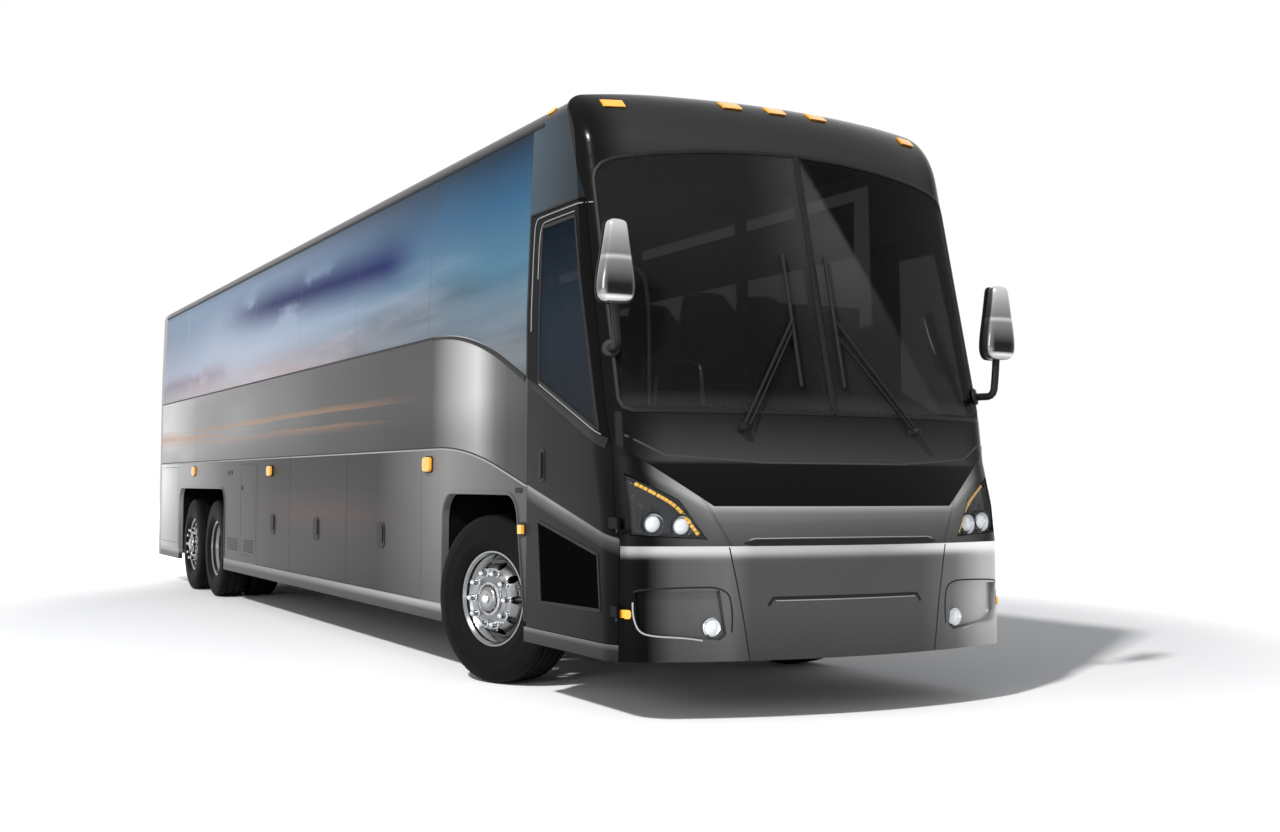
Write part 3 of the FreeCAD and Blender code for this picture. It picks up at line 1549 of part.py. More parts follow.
def mirror(sign):
    """A mirror head that widens downwards, on a bent arm from the corner post; the left one sits lower."""
    drop = mirror_drop if sign > 0 else 0
    low, high = 2200 - drop, 2650 - drop
    outline_points = [
        V(0, -115, low + 90),
        V(0, -75, high - 60),
        V(0, -30, high),
        V(0, 45, high),
        V(0, 85, high - 60),
        V(0, 125, low + 90),
        V(0, 60, low),
        V(0, -60, low),
    ]
    ring = Part.makePolygon(outline_points + [outline_points[0]])
    head = Part.Face(ring).extrude(V(120, 0, 0))
    head = head.makeFillet(26, head.Edges)
    head.translate(V(6560, 1285 * sign, 0))
    foot = V(6380, 1215 * sign, 1985 - drop)
    elbow = V(6600, 1265 * sign, 1990 - drop)
    top = V(6600, 1285 * sign, low + 60)
    arm = strut(foot, elbow, 20).fuse(Part.makeSphere(20, elbow)).fuse(strut(elbow, top, 18))
    return head.fuse(arm.cut(raised.Shape))


piece("mirrors", group("mirrors", *[shaped("mirror_%s" % s, mirror(s)) for s in (-1, 1)]))

# Check every object, then write one file for each piece

doc.recompute()
failed = [obj.Name for obj in doc.Objects if "Invalid" in obj.State or "Error" in obj.State]
if failed:
    raise RuntimeError("failed objects: " + ", ".join(failed))
for obj in pieces:
    if obj.Shape.isNull() or not obj.Shape.isValid() or not obj.Shape.Solids:
        raise RuntimeError("bad shape: " + obj.Label)
os.makedirs("parts", exist_ok=True)
for obj in pieces:
    obj.Shape.exportStep("parts/" + obj.Label + ".step")
    print(obj.Label, len(obj.Shape.Solids), "solids", round(obj.Shape.Volume / 1e9, 5), "m3")
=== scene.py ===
import math

import bmesh
import bpy
import numpy as np
from mathutils import Matrix, Vector
from mathutils.bvhtree import BVHTree


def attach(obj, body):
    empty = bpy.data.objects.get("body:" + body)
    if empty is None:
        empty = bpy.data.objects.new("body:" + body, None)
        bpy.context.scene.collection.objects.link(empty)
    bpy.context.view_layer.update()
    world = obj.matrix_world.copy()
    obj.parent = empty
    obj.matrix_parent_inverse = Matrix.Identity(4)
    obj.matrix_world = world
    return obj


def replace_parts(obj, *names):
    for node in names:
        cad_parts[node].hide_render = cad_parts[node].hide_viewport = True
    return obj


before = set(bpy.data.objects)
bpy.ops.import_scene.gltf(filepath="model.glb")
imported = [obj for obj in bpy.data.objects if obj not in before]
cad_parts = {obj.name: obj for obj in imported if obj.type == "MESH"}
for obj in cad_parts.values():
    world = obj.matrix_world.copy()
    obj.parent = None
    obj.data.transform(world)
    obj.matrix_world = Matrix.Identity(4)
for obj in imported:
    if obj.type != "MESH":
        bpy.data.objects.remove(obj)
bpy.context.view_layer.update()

BAYS = {"front": (1.770, 3.590), "middle": (-0.030, 1.770), "rear": (-1.290, -0.030)}
SIDES = {"right": -1.0, "left": 1.0}
STEER_AT_REST = math.radians(18.0)
FRONT_AXLE = 4.670
DRIVE_AXLE = -3.420
TAG_AXLE = -4.670
TYRE_RADIUS = 0.530


# Camera and lights


# The camera's place in metres, its yaw, pitch and roll in degrees, and its focal length in millimetres
CAMERA_PLACE = (13.7462, -4.8088, 1.2488)
CAMERA_TURN = (152.7569, 2.6094, 0.2985)
CAMERA_LENS = 42.753


def turned_axes(yaw, pitch, roll):
    """Forward, right and up directions of a camera from its yaw, pitch and roll in radians."""
    forward = Vector(
        (math.cos(yaw) * math.cos(pitch), math.sin(yaw) * math.cos(pitch), math.sin(pitch))
    )
    level = Vector((math.sin(yaw), -math.cos(yaw), 0.0))
    upright = level.cross(forward)
    right = level * math.cos(roll) + upright * math.sin(roll)
    up = upright * math.cos(roll) - level * math.sin(roll)
    return forward, right, up


def add_camera():
    """The camera at the photograph's place, found from wheels, axles and panel lines."""
    lens = bpy.data.cameras.new("camera")
    lens.lens = CAMERA_LENS
    lens.clip_end = 400.0
    camera = bpy.data.objects.new("camera", lens)
    forward, right, up = turned_axes(*[math.radians(angle) for angle in CAMERA_TURN])
    turn = Matrix((right, up, -forward)).transposed().to_4x4()
    camera.matrix_world = Matrix.Translation(CAMERA_PLACE) @ turn
    bpy.context.scene.collection.objects.link(camera)
    bpy.context.scene.camera = camera


def add_lamp(name, place, aim, size, power):
    """A square soft light at a place, turned to a point."""
    data = bpy.data.lights.new(name, "AREA")
    data.size = size
    data.energy = power
    lamp = bpy.data.objects.new(name, data)
    run = Vector(aim) - Vector(place)
    lamp.matrix_world = Matrix.Translation(place) @ run.to_track_quat("-Z", "Y").to_matrix().to_4x4()
    bpy.context.scene.collection.objects.link(lamp)


# Node trees written as formulas


def as_colour(tone):
    """A grey level as a colour; a colour or a signal as it is."""
    return tone if isinstance(tone, (tuple, Signal)) else (tone, tone, tone * 1.005)


class Signal:
    """A socket whose operators add nodes, so that sums of sockets read as formulas."""

    def __init__(self, look, socket):
        self.look = look
        self.socket = socket

    def maths(self, operation, *others):
        """A Math node's result for this signal and others."""
        return self.look.add("ShaderNodeMath", [self, *others], operation=operation)

    def __add__(self, other):
        return self.maths("ADD", other)

    __radd__ = __add__

    def __sub__(self, other):
        return self.maths("SUBTRACT", other)

    def __rsub__(self, other):
        return self.look.add("ShaderNodeMath", [other, self], operation="SUBTRACT")

    def __mul__(self, other):
        return self.maths("MULTIPLY", other)

    __rmul__ = __mul__

    def __truediv__(self, other):
        return self.maths("DIVIDE", other)

    def above(self, edge, soft):
        """From 0 below an edge to 1 above it, over a soft width."""
        span = {"Value": self, "From Min": edge - soft, "From Max": edge + soft}
        return self.look.add("ShaderNodeMapRange", span, interpolation_type="SMOOTHSTEP")

    def near(self, centre, half, soft):
        """1 within a half width of a value, falling to 0 over a soft width."""
        away = (self - centre).maths("ABSOLUTE")
        return 1.0 - away.above(half, soft)


class Look:
    """A material: a Principled surface whose inputs are set or wired by name."""

    def __init__(self, name, colour, roughness=0.5, metallic=0.0, **inputs):
        self.material = bpy.data.materials.new(name)
        self.material.use_nodes = True
        self.tree = self.material.node_tree
        self.surface = self.tree.nodes["Principled BSDF"]
        self.wire(base_color=colour, roughness=roughness, metallic=metallic, **inputs)

    def feed(self, socket, value):
        """Wire a signal to a socket, or set its value; a number at a colour's socket is a grey level."""
        if isinstance(value, Signal):
            self.tree.links.new(value.socket, socket)
        elif socket.type == "RGBA":
            socket.default_value = (*as_colour(value), 1.0)
        else:
            socket.default_value = value

    def add(self, kind, inputs=(), output=0, **settings):
        """One node with its settings and inputs, and its output as a signal."""
        node = self.tree.nodes.new(kind)
        for key, value in settings.items():
            setattr(node, key, value)
        pairs = inputs.items() if isinstance(inputs, dict) else enumerate(inputs)
        for key, value in pairs:
            self.feed(node.inputs[key], value)
        return Signal(self, node.outputs[output])

    def wire(self, **inputs):
        """Set or wire inputs of the surface, named in small letters with underscores."""
        for key, value in inputs.items():
            name = "Specular IOR Level" if key == "specular" else key.replace("_", " ").title()
            self.feed(self.surface.inputs[name], value)
        return self

    def place(self, stretch=(1.0, 1.0, 1.0)):
        """The point in the part's own frame, in metres, stretched along each axis."""
        point = self.add("ShaderNodeTexCoord", output=3)
        return self.add("ShaderNodeVectorMath", [point, stretch], operation="MULTIPLY")

    def axes(self):
        """The X, Y and Z of the point as three signals."""
        split = self.tree.nodes.new("ShaderNodeSeparateXYZ")
        self.feed(split.inputs[0], self.place())
        return [Signal(self, split.outputs[number]) for number in range(3)]

    def noise(self, scale, stretch=(1.0, 1.0, 1.0), detail=2.0):
        """Soft random values about 0.5, finer as the scale grows."""
        inputs = {"Vector": self.place(stretch), "Scale": scale, "Detail": detail}
        return self.add("ShaderNodeTexNoise", inputs)

    def mix(self, share, first, second):
        """A colour between two colours or grey levels."""
        return self.add("ShaderNodeMix", {0: share, 6: first, 7: second}, output=2, data_type="RGBA")

    def dim(self, colour, share):
        """A colour or grey level times a share."""
        inputs = {0: as_colour(colour), "Scale": share}
        return self.add("ShaderNodeVectorMath", inputs, operation="SCALE")

    def ramp(self, value, *stops):
        """A colour that runs through stops, each a value with a grey level or a colour."""
        low, high = stops[0][0], stops[-1][0]
        node = self.tree.nodes.new("ShaderNodeValToRGB")
        marks = node.color_ramp.elements
        for at, _ in stops[1:-1]:
            marks.new((at - low) / (high - low))
        for mark, (_, tone) in zip(marks, stops):
            mark.color = (*as_colour(tone), 1.0)
        self.feed(node.inputs[0], (value - low) / (high - low))
        return Signal(self, node.outputs[0])

    def bump(self, height, strength, distance):
        """Raise the surface by a height signal."""
        inputs = {"Strength": strength, "Distance": distance, "Height": height}
        return self.wire(normal=self.add("ShaderNodeBump", inputs))


# Finishes

BELT_FALL = math.radians(21.3)


def belt_height(x):
    """Height of the belt line's straight fall at a place along the side, a number or a signal."""
    return 2.004 - (x - 5.140) * math.tan(BELT_FALL)


def silver(name, tone, seams=(), seam_span=(0.0, 4.0), metallic=0.2):
    """Satin metallic paint with fine flake: a plain level, or a tone drawn by a function of the look."""
    look = Look(name, 0.2, metallic=metallic, specular=0.06)
    flake = look.noise(900.0, detail=1.0)
    cloud = look.noise(0.9, (0.6, 1.0, 1.4)).above(0.55, 0.25)
    drawn = tone(look) if callable(tone) else tone
    drawn = look.dim(drawn, (0.88 + flake * 0.24) * (1.0 - cloud * 0.15))
    if seams:
        x, _, z = look.axes()
        low, high = seam_span
        cover = sum(x.near(seam, 0.0022, 0.0012) for seam in seams)
        cover = cover * z.near((low + high) / 2, (high - low) / 2, 0.002)
        drawn = look.mix(cover, drawn, 0.01)
        look.bump(1.0 - cover, 0.8, 0.003)
    look.wire(base_color=drawn, roughness=0.32 + flake * 0.08)
    return look.material


def wall_tone(look):
    """The upper wall: a painted highlight, pale at the tail and in a band by the arch, and painted shade dark
    amidships; darker towards the bottom, with streaks of dusk.
    """
    x, _, z = look.axes()
    # Painted highlight and shade along the wall: pale at the tail, a bright band by the arch, dark amidships.
    tone = look.ramp(
        x, (-6.9, 1.0), (-6.0, 1.0), (-4.4, 0.42), (-1.2, 0.19), (1.0, 0.075), (2.8, 0.045),
        (3.8, 0.05), (4.65, 0.50), (4.95, 0.14), (5.15, 0.065), (5.6, 0.045),
    )
    tone = look.dim(tone, 0.62 + z.above(1.66, 0.18) * 0.38)
    dusk = look.noise(0.5, (0.5, 1.0, 3.0), 3.0).above(0.52, 0.12) * (1.0 - x.above(1.5, 1.5))
    tone = look.mix(dusk * 0.35, tone, (0.12, 0.08, 0.085))
    wave = look.noise(1.0, (0.16, 1.0, 16.0), 3.0)
    band = wave.above(0.55, 0.05) * z.near(1.80, 0.05, 0.10) * (1.0 - x.above(2.4, 1.4))
    tone = look.mix(band * 0.75, tone, (0.52, 0.25, 0.09))
    front = x.above(5.15, 0.004)
    veil = z.above(2.852, 0.002) * front
    tone = look.mix(veil, tone, look.ramp(x, (5.2, (0.045, 0.075, 0.10)), (6.2, (0.008, 0.010, 0.012))))
    pillar = front * (z - belt_height(x)).above(0.0, 0.004) * (1.0 - veil)
    return look.mix(pillar, tone, 0.004)


def skirt_tone(look):
    """The lower side: a painted highlight pale at the tail and lighter by the front arch, painted shade dark
    amidships with a red cast; darker towards the bottom.
    """
    x, _, z = look.axes()
    # Painted highlight and shade along the skirt.
    tone = look.ramp(
        x, (-6.9, 0.95), (-6.2, 0.72), (-5.3, 0.36), (-2.8, 0.07), (-0.6, 0.006), (2.6, 0.006),
        (3.6, 0.11), (4.1, 0.17), (5.3, 0.07), (6.6, 0.02),
    )
    tone = look.dim(tone, 0.65 + z.above(0.95, 0.45) * 0.50)
    cast = z.near(1.0, 0.08, 0.22) * x.near(0.8, 1.6, 1.8)
    return look.mix(cast * 0.65, tone, (0.080, 0.030, 0.030))


def rail_tone(look):
    """The rounded rail under the side: a painted highlight along its shoulder and painted shade below it,
    fading along the coach.
    """
    x, _, z = look.axes()
    # Painted highlight on the shoulder and painted shade below it.
    shoulder = look.ramp(
        z, (0.30, 0.03), (0.385, 0.06), (0.415, 0.30), (0.435, 0.42), (0.46, 0.16), (0.52, 0.12)
    )
    # The painted highlight fades along the coach.
    fade = look.ramp(x, (-6.9, 1.0), (-2.8, 0.45), (0.5, 0.55), (3.6, 1.0), (5.4, 0.7), (6.6, 0.3))
    return look.dim(shoulder, fade)


def nose_tone(look):
    """The nose panel: a painted highlight along the edge under the dark mask, falling off below, and painted
    shade dark at the corners.
    """
    _, y, z = look.axes()
    out = y.maths("ABSOLUTE")
    edge = 1.137 + (out - 0.80).maths("MAXIMUM", 0.0) * 0.577
    # Painted highlight under the mask's edge, falling off below.
    tone = look.ramp(edge - z, (0.0, 0.38), (0.014, 0.28), (0.035, 0.17), (0.09, 0.112), (0.20, 0.072))
    # Painted shade along the wing panel's crease and towards the corners, black at the outer corners.
    crease = (out - 0.70 - (z - 0.93) * 0.526).near(0.0, 0.003, 0.016)
    tone = look.dim(tone, (1.0 - crease * 0.55) * (1.0 - out.above(1.02, 0.16)))
    return look.mix(out.above(1.10, 0.05), tone, 0.006)


def bumper_tone(look):
    """The bumper: a painted highlight on its rounded top, painted shade dark below and darker still round the
    entry corner.
    """
    _, y, z = look.axes()
    # Painted light and shade across the bumper: dark round the entry corner, light towards the other corner.
    tone = look.ramp(
        y, (-1.30, 0.004), (-1.14, 0.004), (-1.00, 0.075), (-0.72, 0.11), (-0.60, 0.062),
        (0.50, 0.076), (0.80, 0.15), (1.05, 0.42), (1.25, 0.55),
    )
    tone = look.dim(tone, look.ramp(z, (0.30, 0.70), (0.60, 1.0), (0.84, 1.05), (0.90, 1.5)))
    # Painted highlight along the rounded top.
    shine = 0.14 + y.above(-1.18, 0.12) * 0.34 - y.above(-0.62, 0.10) * 0.12 + y.above(0.6, 0.5) * 0.62
    top = z.above(0.884, 0.028) * shine
    return look.mix(top, tone, 0.95)


def gloss_black(name, level, roughness, specular):
    """Deep gloss black with faint polishing haze."""
    look = Look(name, level, specular=specular)
    haze = look.noise(1.6, detail=4.0)
    look.wire(base_color=look.mix(haze, level * 0.6, level * 1.5))
    look.wire(roughness=roughness + haze * 0.08)
    return look.material


def mask_black(name):
    """Gloss black of the front mask, with a faint painted sheen above the mask's line and over the screen."""
    look = Look(name, 0.006, 0.14, specular=0.05)
    _, y, z = look.axes()
    # Painted sheen above the mask's line and near the top.
    tone = look.ramp(
        z, (1.10, 0.003), (1.365, 0.005), (1.385, 0.040), (1.62, 0.012), (2.9, 0.008), (3.2, 0.030),
        (3.5, 0.020),
    )
    sides = y.maths("ABSOLUTE").above(1.08, 0.12)
    haze = look.noise(1.6, detail=4.0)
    look.wire(base_color=look.mix(sides, tone, 0.004), roughness=0.10 + haze * 0.08)
    return look.material


def moulded(name, colour, roughness, grain=420.0, specular=0.15):
    """Plain moulded plastic or rubber with a fine grain."""
    look = Look(name, colour, roughness, specular=specular)
    spots = look.noise(grain, detail=3.0)
    drift = look.noise(2.5, detail=3.0)
    darker = tuple(channel * 0.75 for channel in colour)
    look.wire(base_color=look.mix(drift, darker, colour), roughness=roughness - 0.08 + spots * 0.16)
    look.bump(spots, 0.25, 0.0006)
    return look.material


def metal(name, colour, roughness, brushed=0.15):
    """Bare bright metal with fine turned or brushed marks."""
    look = Look(name, colour, metallic=1.0)
    marks = look.noise(160.0, detail=4.0)
    wear = look.noise(6.0, detail=3.0)
    worn = tuple(channel * 0.82 for channel in colour)
    look.wire(base_color=look.mix(wear, worn, colour), roughness=roughness + marks * brushed)
    return look.material


def chassis(name, level=0.045):
    """Dull chassis paint under road dust, thicker low down."""
    look = Look(name, level, 0.6, specular=0.2)
    _, _, z = look.axes()
    patches = look.noise(3.5, detail=5.0)
    dust = (1.0 - z.above(0.7, 0.5)) * patches.above(0.48, 0.15) * 0.5
    look.wire(base_color=look.mix(dust, level, (0.13, 0.12, 0.105)))
    look.wire(roughness=0.5 + patches * 0.3)
    look.bump(look.noise(90.0, detail=4.0), 0.3, 0.001)
    return look.material


def screen_glass(name):
    """The dark windscreen with a painted reflection: lighter on one side of a slanting line, most of all at
    the top middle.
    """
    look = Look(name, 0.004, 0.05, alpha=0.60, specular=0.05)
    _, y, z = look.axes()
    # Painted reflection, bounded by a slanting line.
    lit = (3.18 - z) * 0.55 - y
    sheen = lit.above(0.0, 0.03) * (0.06 + y.above(-0.10, 0.30) * 0.24) * (0.30 + z.above(2.40, 0.35) * 0.70)
    foot = 1.0 - z.above(1.73, 0.05)
    look.wire(base_color=look.mix(sheen + foot * 0.10, 0.003, 0.20))
    look.wire(roughness=0.03 + look.noise(2.2, detail=4.0) * 0.03)
    return look.material


def sky_film(name):
    """Printed film over the panes: an evening sky in bands outside, and inside a painted glow that stands in
    for daylight coming through.
    """
    look = Look(name, (0.3, 0.4, 0.5), 0.2, specular=0.01)
    x, y, z = look.axes()
    tall = look.noise(0.34, (1.0, 1.0, 2.2), 3.0)
    height = z + (tall - 0.5) * 0.5
    deep = look.ramp(
        height, (2.15, (0.035, 0.045, 0.048)), (2.38, (0.045, 0.072, 0.088)), (2.66, (0.060, 0.135, 0.20)),
        (3.02, (0.025, 0.080, 0.15)), (3.38, (0.010, 0.020, 0.038)),
    )
    pale = look.ramp(
        height, (2.30, (0.46, 0.39, 0.40)), (2.62, (0.40, 0.45, 0.56)), (3.20, (0.20, 0.27, 0.38))
    )
    tone = look.mix(x.above(0.9, 4.3), pale, deep)
    rays = look.noise(0.5, (0.30, 1.0, 5.0), 3.0)
    tone = look.mix(rays.above(0.56, 0.10) * 0.20, tone, (0.30, 0.40, 0.52))
    veil = look.noise(0.75, (0.45, 1.0, 4.0), 5.0).above(0.58, 0.12) * (1.0 - x.above(2.0, 4.0) * 0.8)
    tone = look.mix(veil * 0.45 * (1.0 - z.above(2.85, 0.2)), tone, (0.50, 0.47, 0.54))
    puffs = look.noise(0.9, (0.50, 1.0, 2.1), 6.0)
    bank = puffs.above(0.448, 0.045) * z.near(3.00 - (x + 2.0) * 0.020, 0.13, 0.17)
    bank = bank * (1.0 - x.above(3.1, 0.5)) * x.above(-2.2, 1.6)
    tone = look.mix(bank, tone, (0.002, 0.006, 0.075))
    low_bank = look.noise(1.1, (0.8, 1.0, 1.6), 6.0).above(0.50, 0.06) * z.near(2.46, 0.04, 0.15)
    tone = look.mix(low_bank * 0.7 * (1.0 - x.above(-3.0, 1.5)), tone, (0.16, 0.11, 0.17))
    warm = look.noise(0.5, (0.35, 1.0, 8.0), 4.0).above(0.56, 0.08) * (1.0 - z.above(2.36, 0.30))
    tone = look.mix(warm * 0.5 * (1.0 - x.above(2.4, 1.4)), tone, (0.48, 0.27, 0.18))
    under_roof = z.above(3.36, 0.14) * x.above(-5.0, 6.0)
    tone = look.mix(under_roof * 0.8, tone, (0.02, 0.026, 0.032))
    driver = x.above(5.45, 0.02)
    tone = look.mix(driver, tone, (0.006, 0.008, 0.010))
    # Painted glow on the inner face, standing in for daylight through the film.
    inner = 1.0 - (y.maths("ABSOLUTE") + (z - 2.3) * 0.0331).above(1.2895, 0.002)
    look.wire(base_color=tone, roughness=0.20 + look.noise(3.0) * 0.08)
    look.wire(emission_color=look.dim(0.10, inner), emission_strength=1.0)
    return look.material


def door_paint(name):
    """The door: gloss black above the falling belt line, dark grey metallic below it, with painted shade
    darkening it towards the front and a painted highlight under the crease.
    """
    look = Look(name, 0.02, specular=0.02)
    x, _, z = look.axes()
    lower = (belt_height(x) - z).above(0.0, 0.002)
    crease = 1.3636 - (x - 5.002) * 0.2456
    # Painted shade: darker towards the front.
    tone = look.ramp(x, (5.45, 0.020), (5.75, 0.017), (6.15, 0.014), (6.45, 0.008), (6.62, 0.004))
    # Painted highlight under the crease, fading towards the front.
    light = look.ramp(crease - z, (-0.004, 0.0), (0.004, 0.22), (0.03, 0.09), (0.09, 0.0))
    tone = look.add("ShaderNodeVectorMath", {0: tone, 1: look.dim(light, 1.0 - x.above(6.3, 0.5) * 0.6)})
    cloud = look.noise(1.2, detail=3.0)
    tone = look.dim(tone, 0.8 + cloud * 0.4)
    look.wire(base_color=look.mix(lower, 0.004, tone), metallic=lower * 0.12)
    look.wire(roughness=0.16 + lower * 0.14 + cloud * 0.05)
    return look.material


def door_glass(name):
    """The door's panes: smoky blue above, black and closed to view below."""
    look = Look(name, (0.02, 0.022, 0.026), 0.05, alpha=0.7, specular=0.0)
    _, _, z = look.axes()
    shut = 1.0 - z.above(1.20, 0.05)
    tone = look.ramp(
        z, (1.5, (0.026, 0.029, 0.033)), (2.2, (0.022, 0.030, 0.040)), (2.75, (0.008, 0.013, 0.020))
    )
    look.wire(base_color=look.mix(shut, tone, 0.002), alpha=0.62 + shut * 0.38)
    look.wire(roughness=0.04 + look.noise(2.2, detail=4.0) * 0.03)
    return look.material


def mirror_shell(name):
    """Chrome of a mirror head with a painted reflection: pale above, a bright line at half height, black
    above its lower rim.
    """
    look = Look(name, 0.5, 0.12, metallic=0.9)
    _, y, z = look.axes()
    height = z + y.above(0.0, 0.01) * 0.190
    # Painted reflection in bands up the head.
    tone = look.ramp(
        height, (2.205, 0.50), (2.232, 0.55), (2.250, 0.012), (2.300, 0.015), (2.370, 0.14),
        (2.425, 0.24), (2.445, 0.60), (2.462, 0.20), (2.540, 0.34), (2.640, 0.66),
    )
    rim = (y.maths("ABSOLUTE") - 1.285).maths("ABSOLUTE").above(0.078, 0.012)
    tone = look.mix(rim * 0.5, tone, 0.30)
    look.wire(base_color=tone, roughness=0.10 + look.noise(40.0) * 0.06)
    return look.material


def lamp_glass(name):
    """Clear lamp cover, faintly uneven."""
    look = Look(name, (0.30, 0.31, 0.33), 0.02, alpha=0.05)
    look.wire(roughness=0.02 + look.noise(30.0) * 0.03)
    return look.material


def lamp_eye(name):
    """The clear projector lens of a lamp, bright even when it is off."""
    look = Look(name, (0.86, 0.88, 0.90), 0.05, coat_weight=1.0, emission_color=(0.9, 0.95, 1.0))
    rings = look.noise(90.0, detail=1.0)
    look.wire(base_color=look.mix(rings, (0.50, 0.53, 0.56), (0.80, 0.83, 0.86)), emission_strength=0.10)
    return look.material


def lens_plastic(name, colour, glow):
    """Coloured lens with a fine moulded grain and a faint glow."""
    look = Look(name, colour, 0.15, coat_weight=0.6, emission_color=colour, emission_strength=glow)
    grain = look.noise(240.0, detail=1.0)
    look.wire(base_color=look.mix(grain, tuple(channel * 0.7 for channel in colour), colour))
    look.bump(grain, 0.3, 0.001)
    return look.material


def cloth(name, colour):
    """Woven upholstery: crossed threads with speckled colour."""
    look = Look(name, colour, 0.85, sheen_weight=0.3)
    point = look.place()
    threads = {"Vector": point, "Scale": 260.0}
    warp, weft = [look.add("ShaderNodeTexWave", threads, output=1, bands_direction=way) for way in "YZ"]
    weave = warp.maths("MAXIMUM", weft)
    speck = look.noise(60.0, detail=3.0)
    pale = tuple(channel * 1.7 + 0.01 for channel in colour)
    look.wire(base_color=look.mix(speck.above(0.55, 0.1) * 0.5, colour, pale))
    look.bump(weave, 0.35, 0.0008)
    return look.material


def tyre_rubber(name):
    """Dark rubber with uneven dust and a fine grain."""
    look = Look(name, 0.007, 0.7, specular=0.06)
    dust = look.noise(7.0, detail=5.0)
    look.wire(base_color=look.mix(dust, 0.002, 0.007), roughness=0.50 + dust * 0.25)
    look.bump(look.noise(260.0, detail=2.0), 0.2, 0.0006)
    return look.material


NOSE_PAINT = silver("paint_nose", nose_tone, metallic=0.75)
WALL_PAINT = silver("paint_wall", wall_tone, seams=(-2.08,), seam_span=(0.4, 1.5))
SKIRT_PAINT = silver("paint_skirt", skirt_tone, seams=(-2.08, -1.42), seam_span=(0.45, 1.49))
RAIL_PAINT = silver("paint_rail", rail_tone)
TAIL_PAINT = silver("paint_tail", 0.42)
BUMPER_PAINT = silver("paint_bumper", bumper_tone, metallic=0.75)
# Pale paint for painted highlights on the fog lamp pockets' lips.
HIGHLIGHT_PAINT = silver("paint_highlight", 0.36)
PAINT_DARK = silver("paint_dark", 0.055)
# Plain pale paint of the rear bumper, also used for strips of painted highlight.
PALE_PAINT_AND_HIGHLIGHT = silver("paint_pale_and_highlight", 0.30)
DOOR_PAINT = door_paint("door_paint")
BLACK = gloss_black("gloss_black", 0.008, 0.12, 0.06)
MASK_BLACK = mask_black("mask_black")
ROOF_BLACK = gloss_black("roof_black", 0.018, 0.2, 0.08)
FILM = sky_film("sky_film")
SCREEN = screen_glass("screen_glass")
DOOR_GLASS = door_glass("door_glass")
CHASSIS = chassis("chassis_paint")
LINING = moulded("cabin_lining", (0.10, 0.10, 0.105), 0.7, 120.0, 0.03)
DARK = moulded("dark_plastic", (0.010, 0.010, 0.0105), 0.5)
WELL = moulded("wheel_house_liner", (0.004, 0.004, 0.004), 0.8, specular=0.05)
IRON = chassis("engine_paint", 0.12)
ALLOY = metal("polished_alloy", (0.27, 0.275, 0.28), 0.14)
STEEL = metal("bright_steel", (0.55, 0.55, 0.56), 0.25)
CHROME = metal("chrome", (0.62, 0.63, 0.64), 0.06, 0.03)
MIRROR_SHELL = mirror_shell("mirror_shell")
RUBBER = tyre_rubber("tyre_rubber")
CLEAR = lamp_glass("lamp_glass")
AMBER = lens_plastic("amber_lens", (0.90, 0.38, 0.02), 0.30)
LED = lens_plastic("led_cell", (0.72, 0.40, 0.02), 0.22)
RED = lens_plastic("red_lens", (0.55, 0.01, 0.01), 0.15)
LENS = lamp_eye("lamp_eye")
BOWL = metal("lamp_bowl", (0.75, 0.77, 0.80), 0.10, 0.05)
CLOTH = cloth("seat_cloth", (0.035, 0.036, 0.042))

NODE_LOOKS = {
    WALL_PAINT: ["side_wall"],
    SKIRT_PAINT: ["skirt", "bay_door"],
    RAIL_PAINT: ["rocker_rails"],
    NOSE_PAINT: ["nose_panel"],
    BUMPER_PAINT: ["front_bumper"],
    TAIL_PAINT: ["rear_cap", "engine_door"],
    PALE_PAINT_AND_HIGHLIGHT: ["rear_bumper"],
    ROOF_BLACK: ["roof"],
    MASK_BLACK: ["front_mask"],
    DOOR_PAINT: ["entry_door"],
    DOOR_GLASS: ["entry_door_glass"],
    SCREEN: ["windscreen"],
    FILM: ["side_glass"],
    CHASSIS: [
        "bay_arms", "underframe", "bay_floor", "bulkheads", "front_axle", "drive_axle", "tag_axle",
        "knuckle", "tie_rod",
    ],
    WELL: ["wheel_houses"],
    LINING: ["cabin_floor"],
    DARK: ["dashboard", "steering_wheel", "wipers"],
    IRON: ["engine"],
    CLOTH: ["seats"],
    ALLOY: ["wheel"],
    RUBBER: ["tyre"],
    CLEAR: ["front_lamps"],
    AMBER: ["marker_lamps"],
    RED: ["tail_lamps"],
    CHROME: ["mirrors"],
}


def look_of(node):
    """The finish whose name the node's name starts with, the longest name first."""
    finishes = {start: finish for finish, starts in NODE_LOOKS.items() for start in starts}
    return finishes[max((start for start in finishes if node.startswith(start)), key=len)]


def dress_nodes():
    """Give every node of the frame its finish."""
    for node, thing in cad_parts.items():
        thing.data.materials.clear()
        thing.data.materials.append(look_of(node))


# Mesh forms, built from whole arrays of points


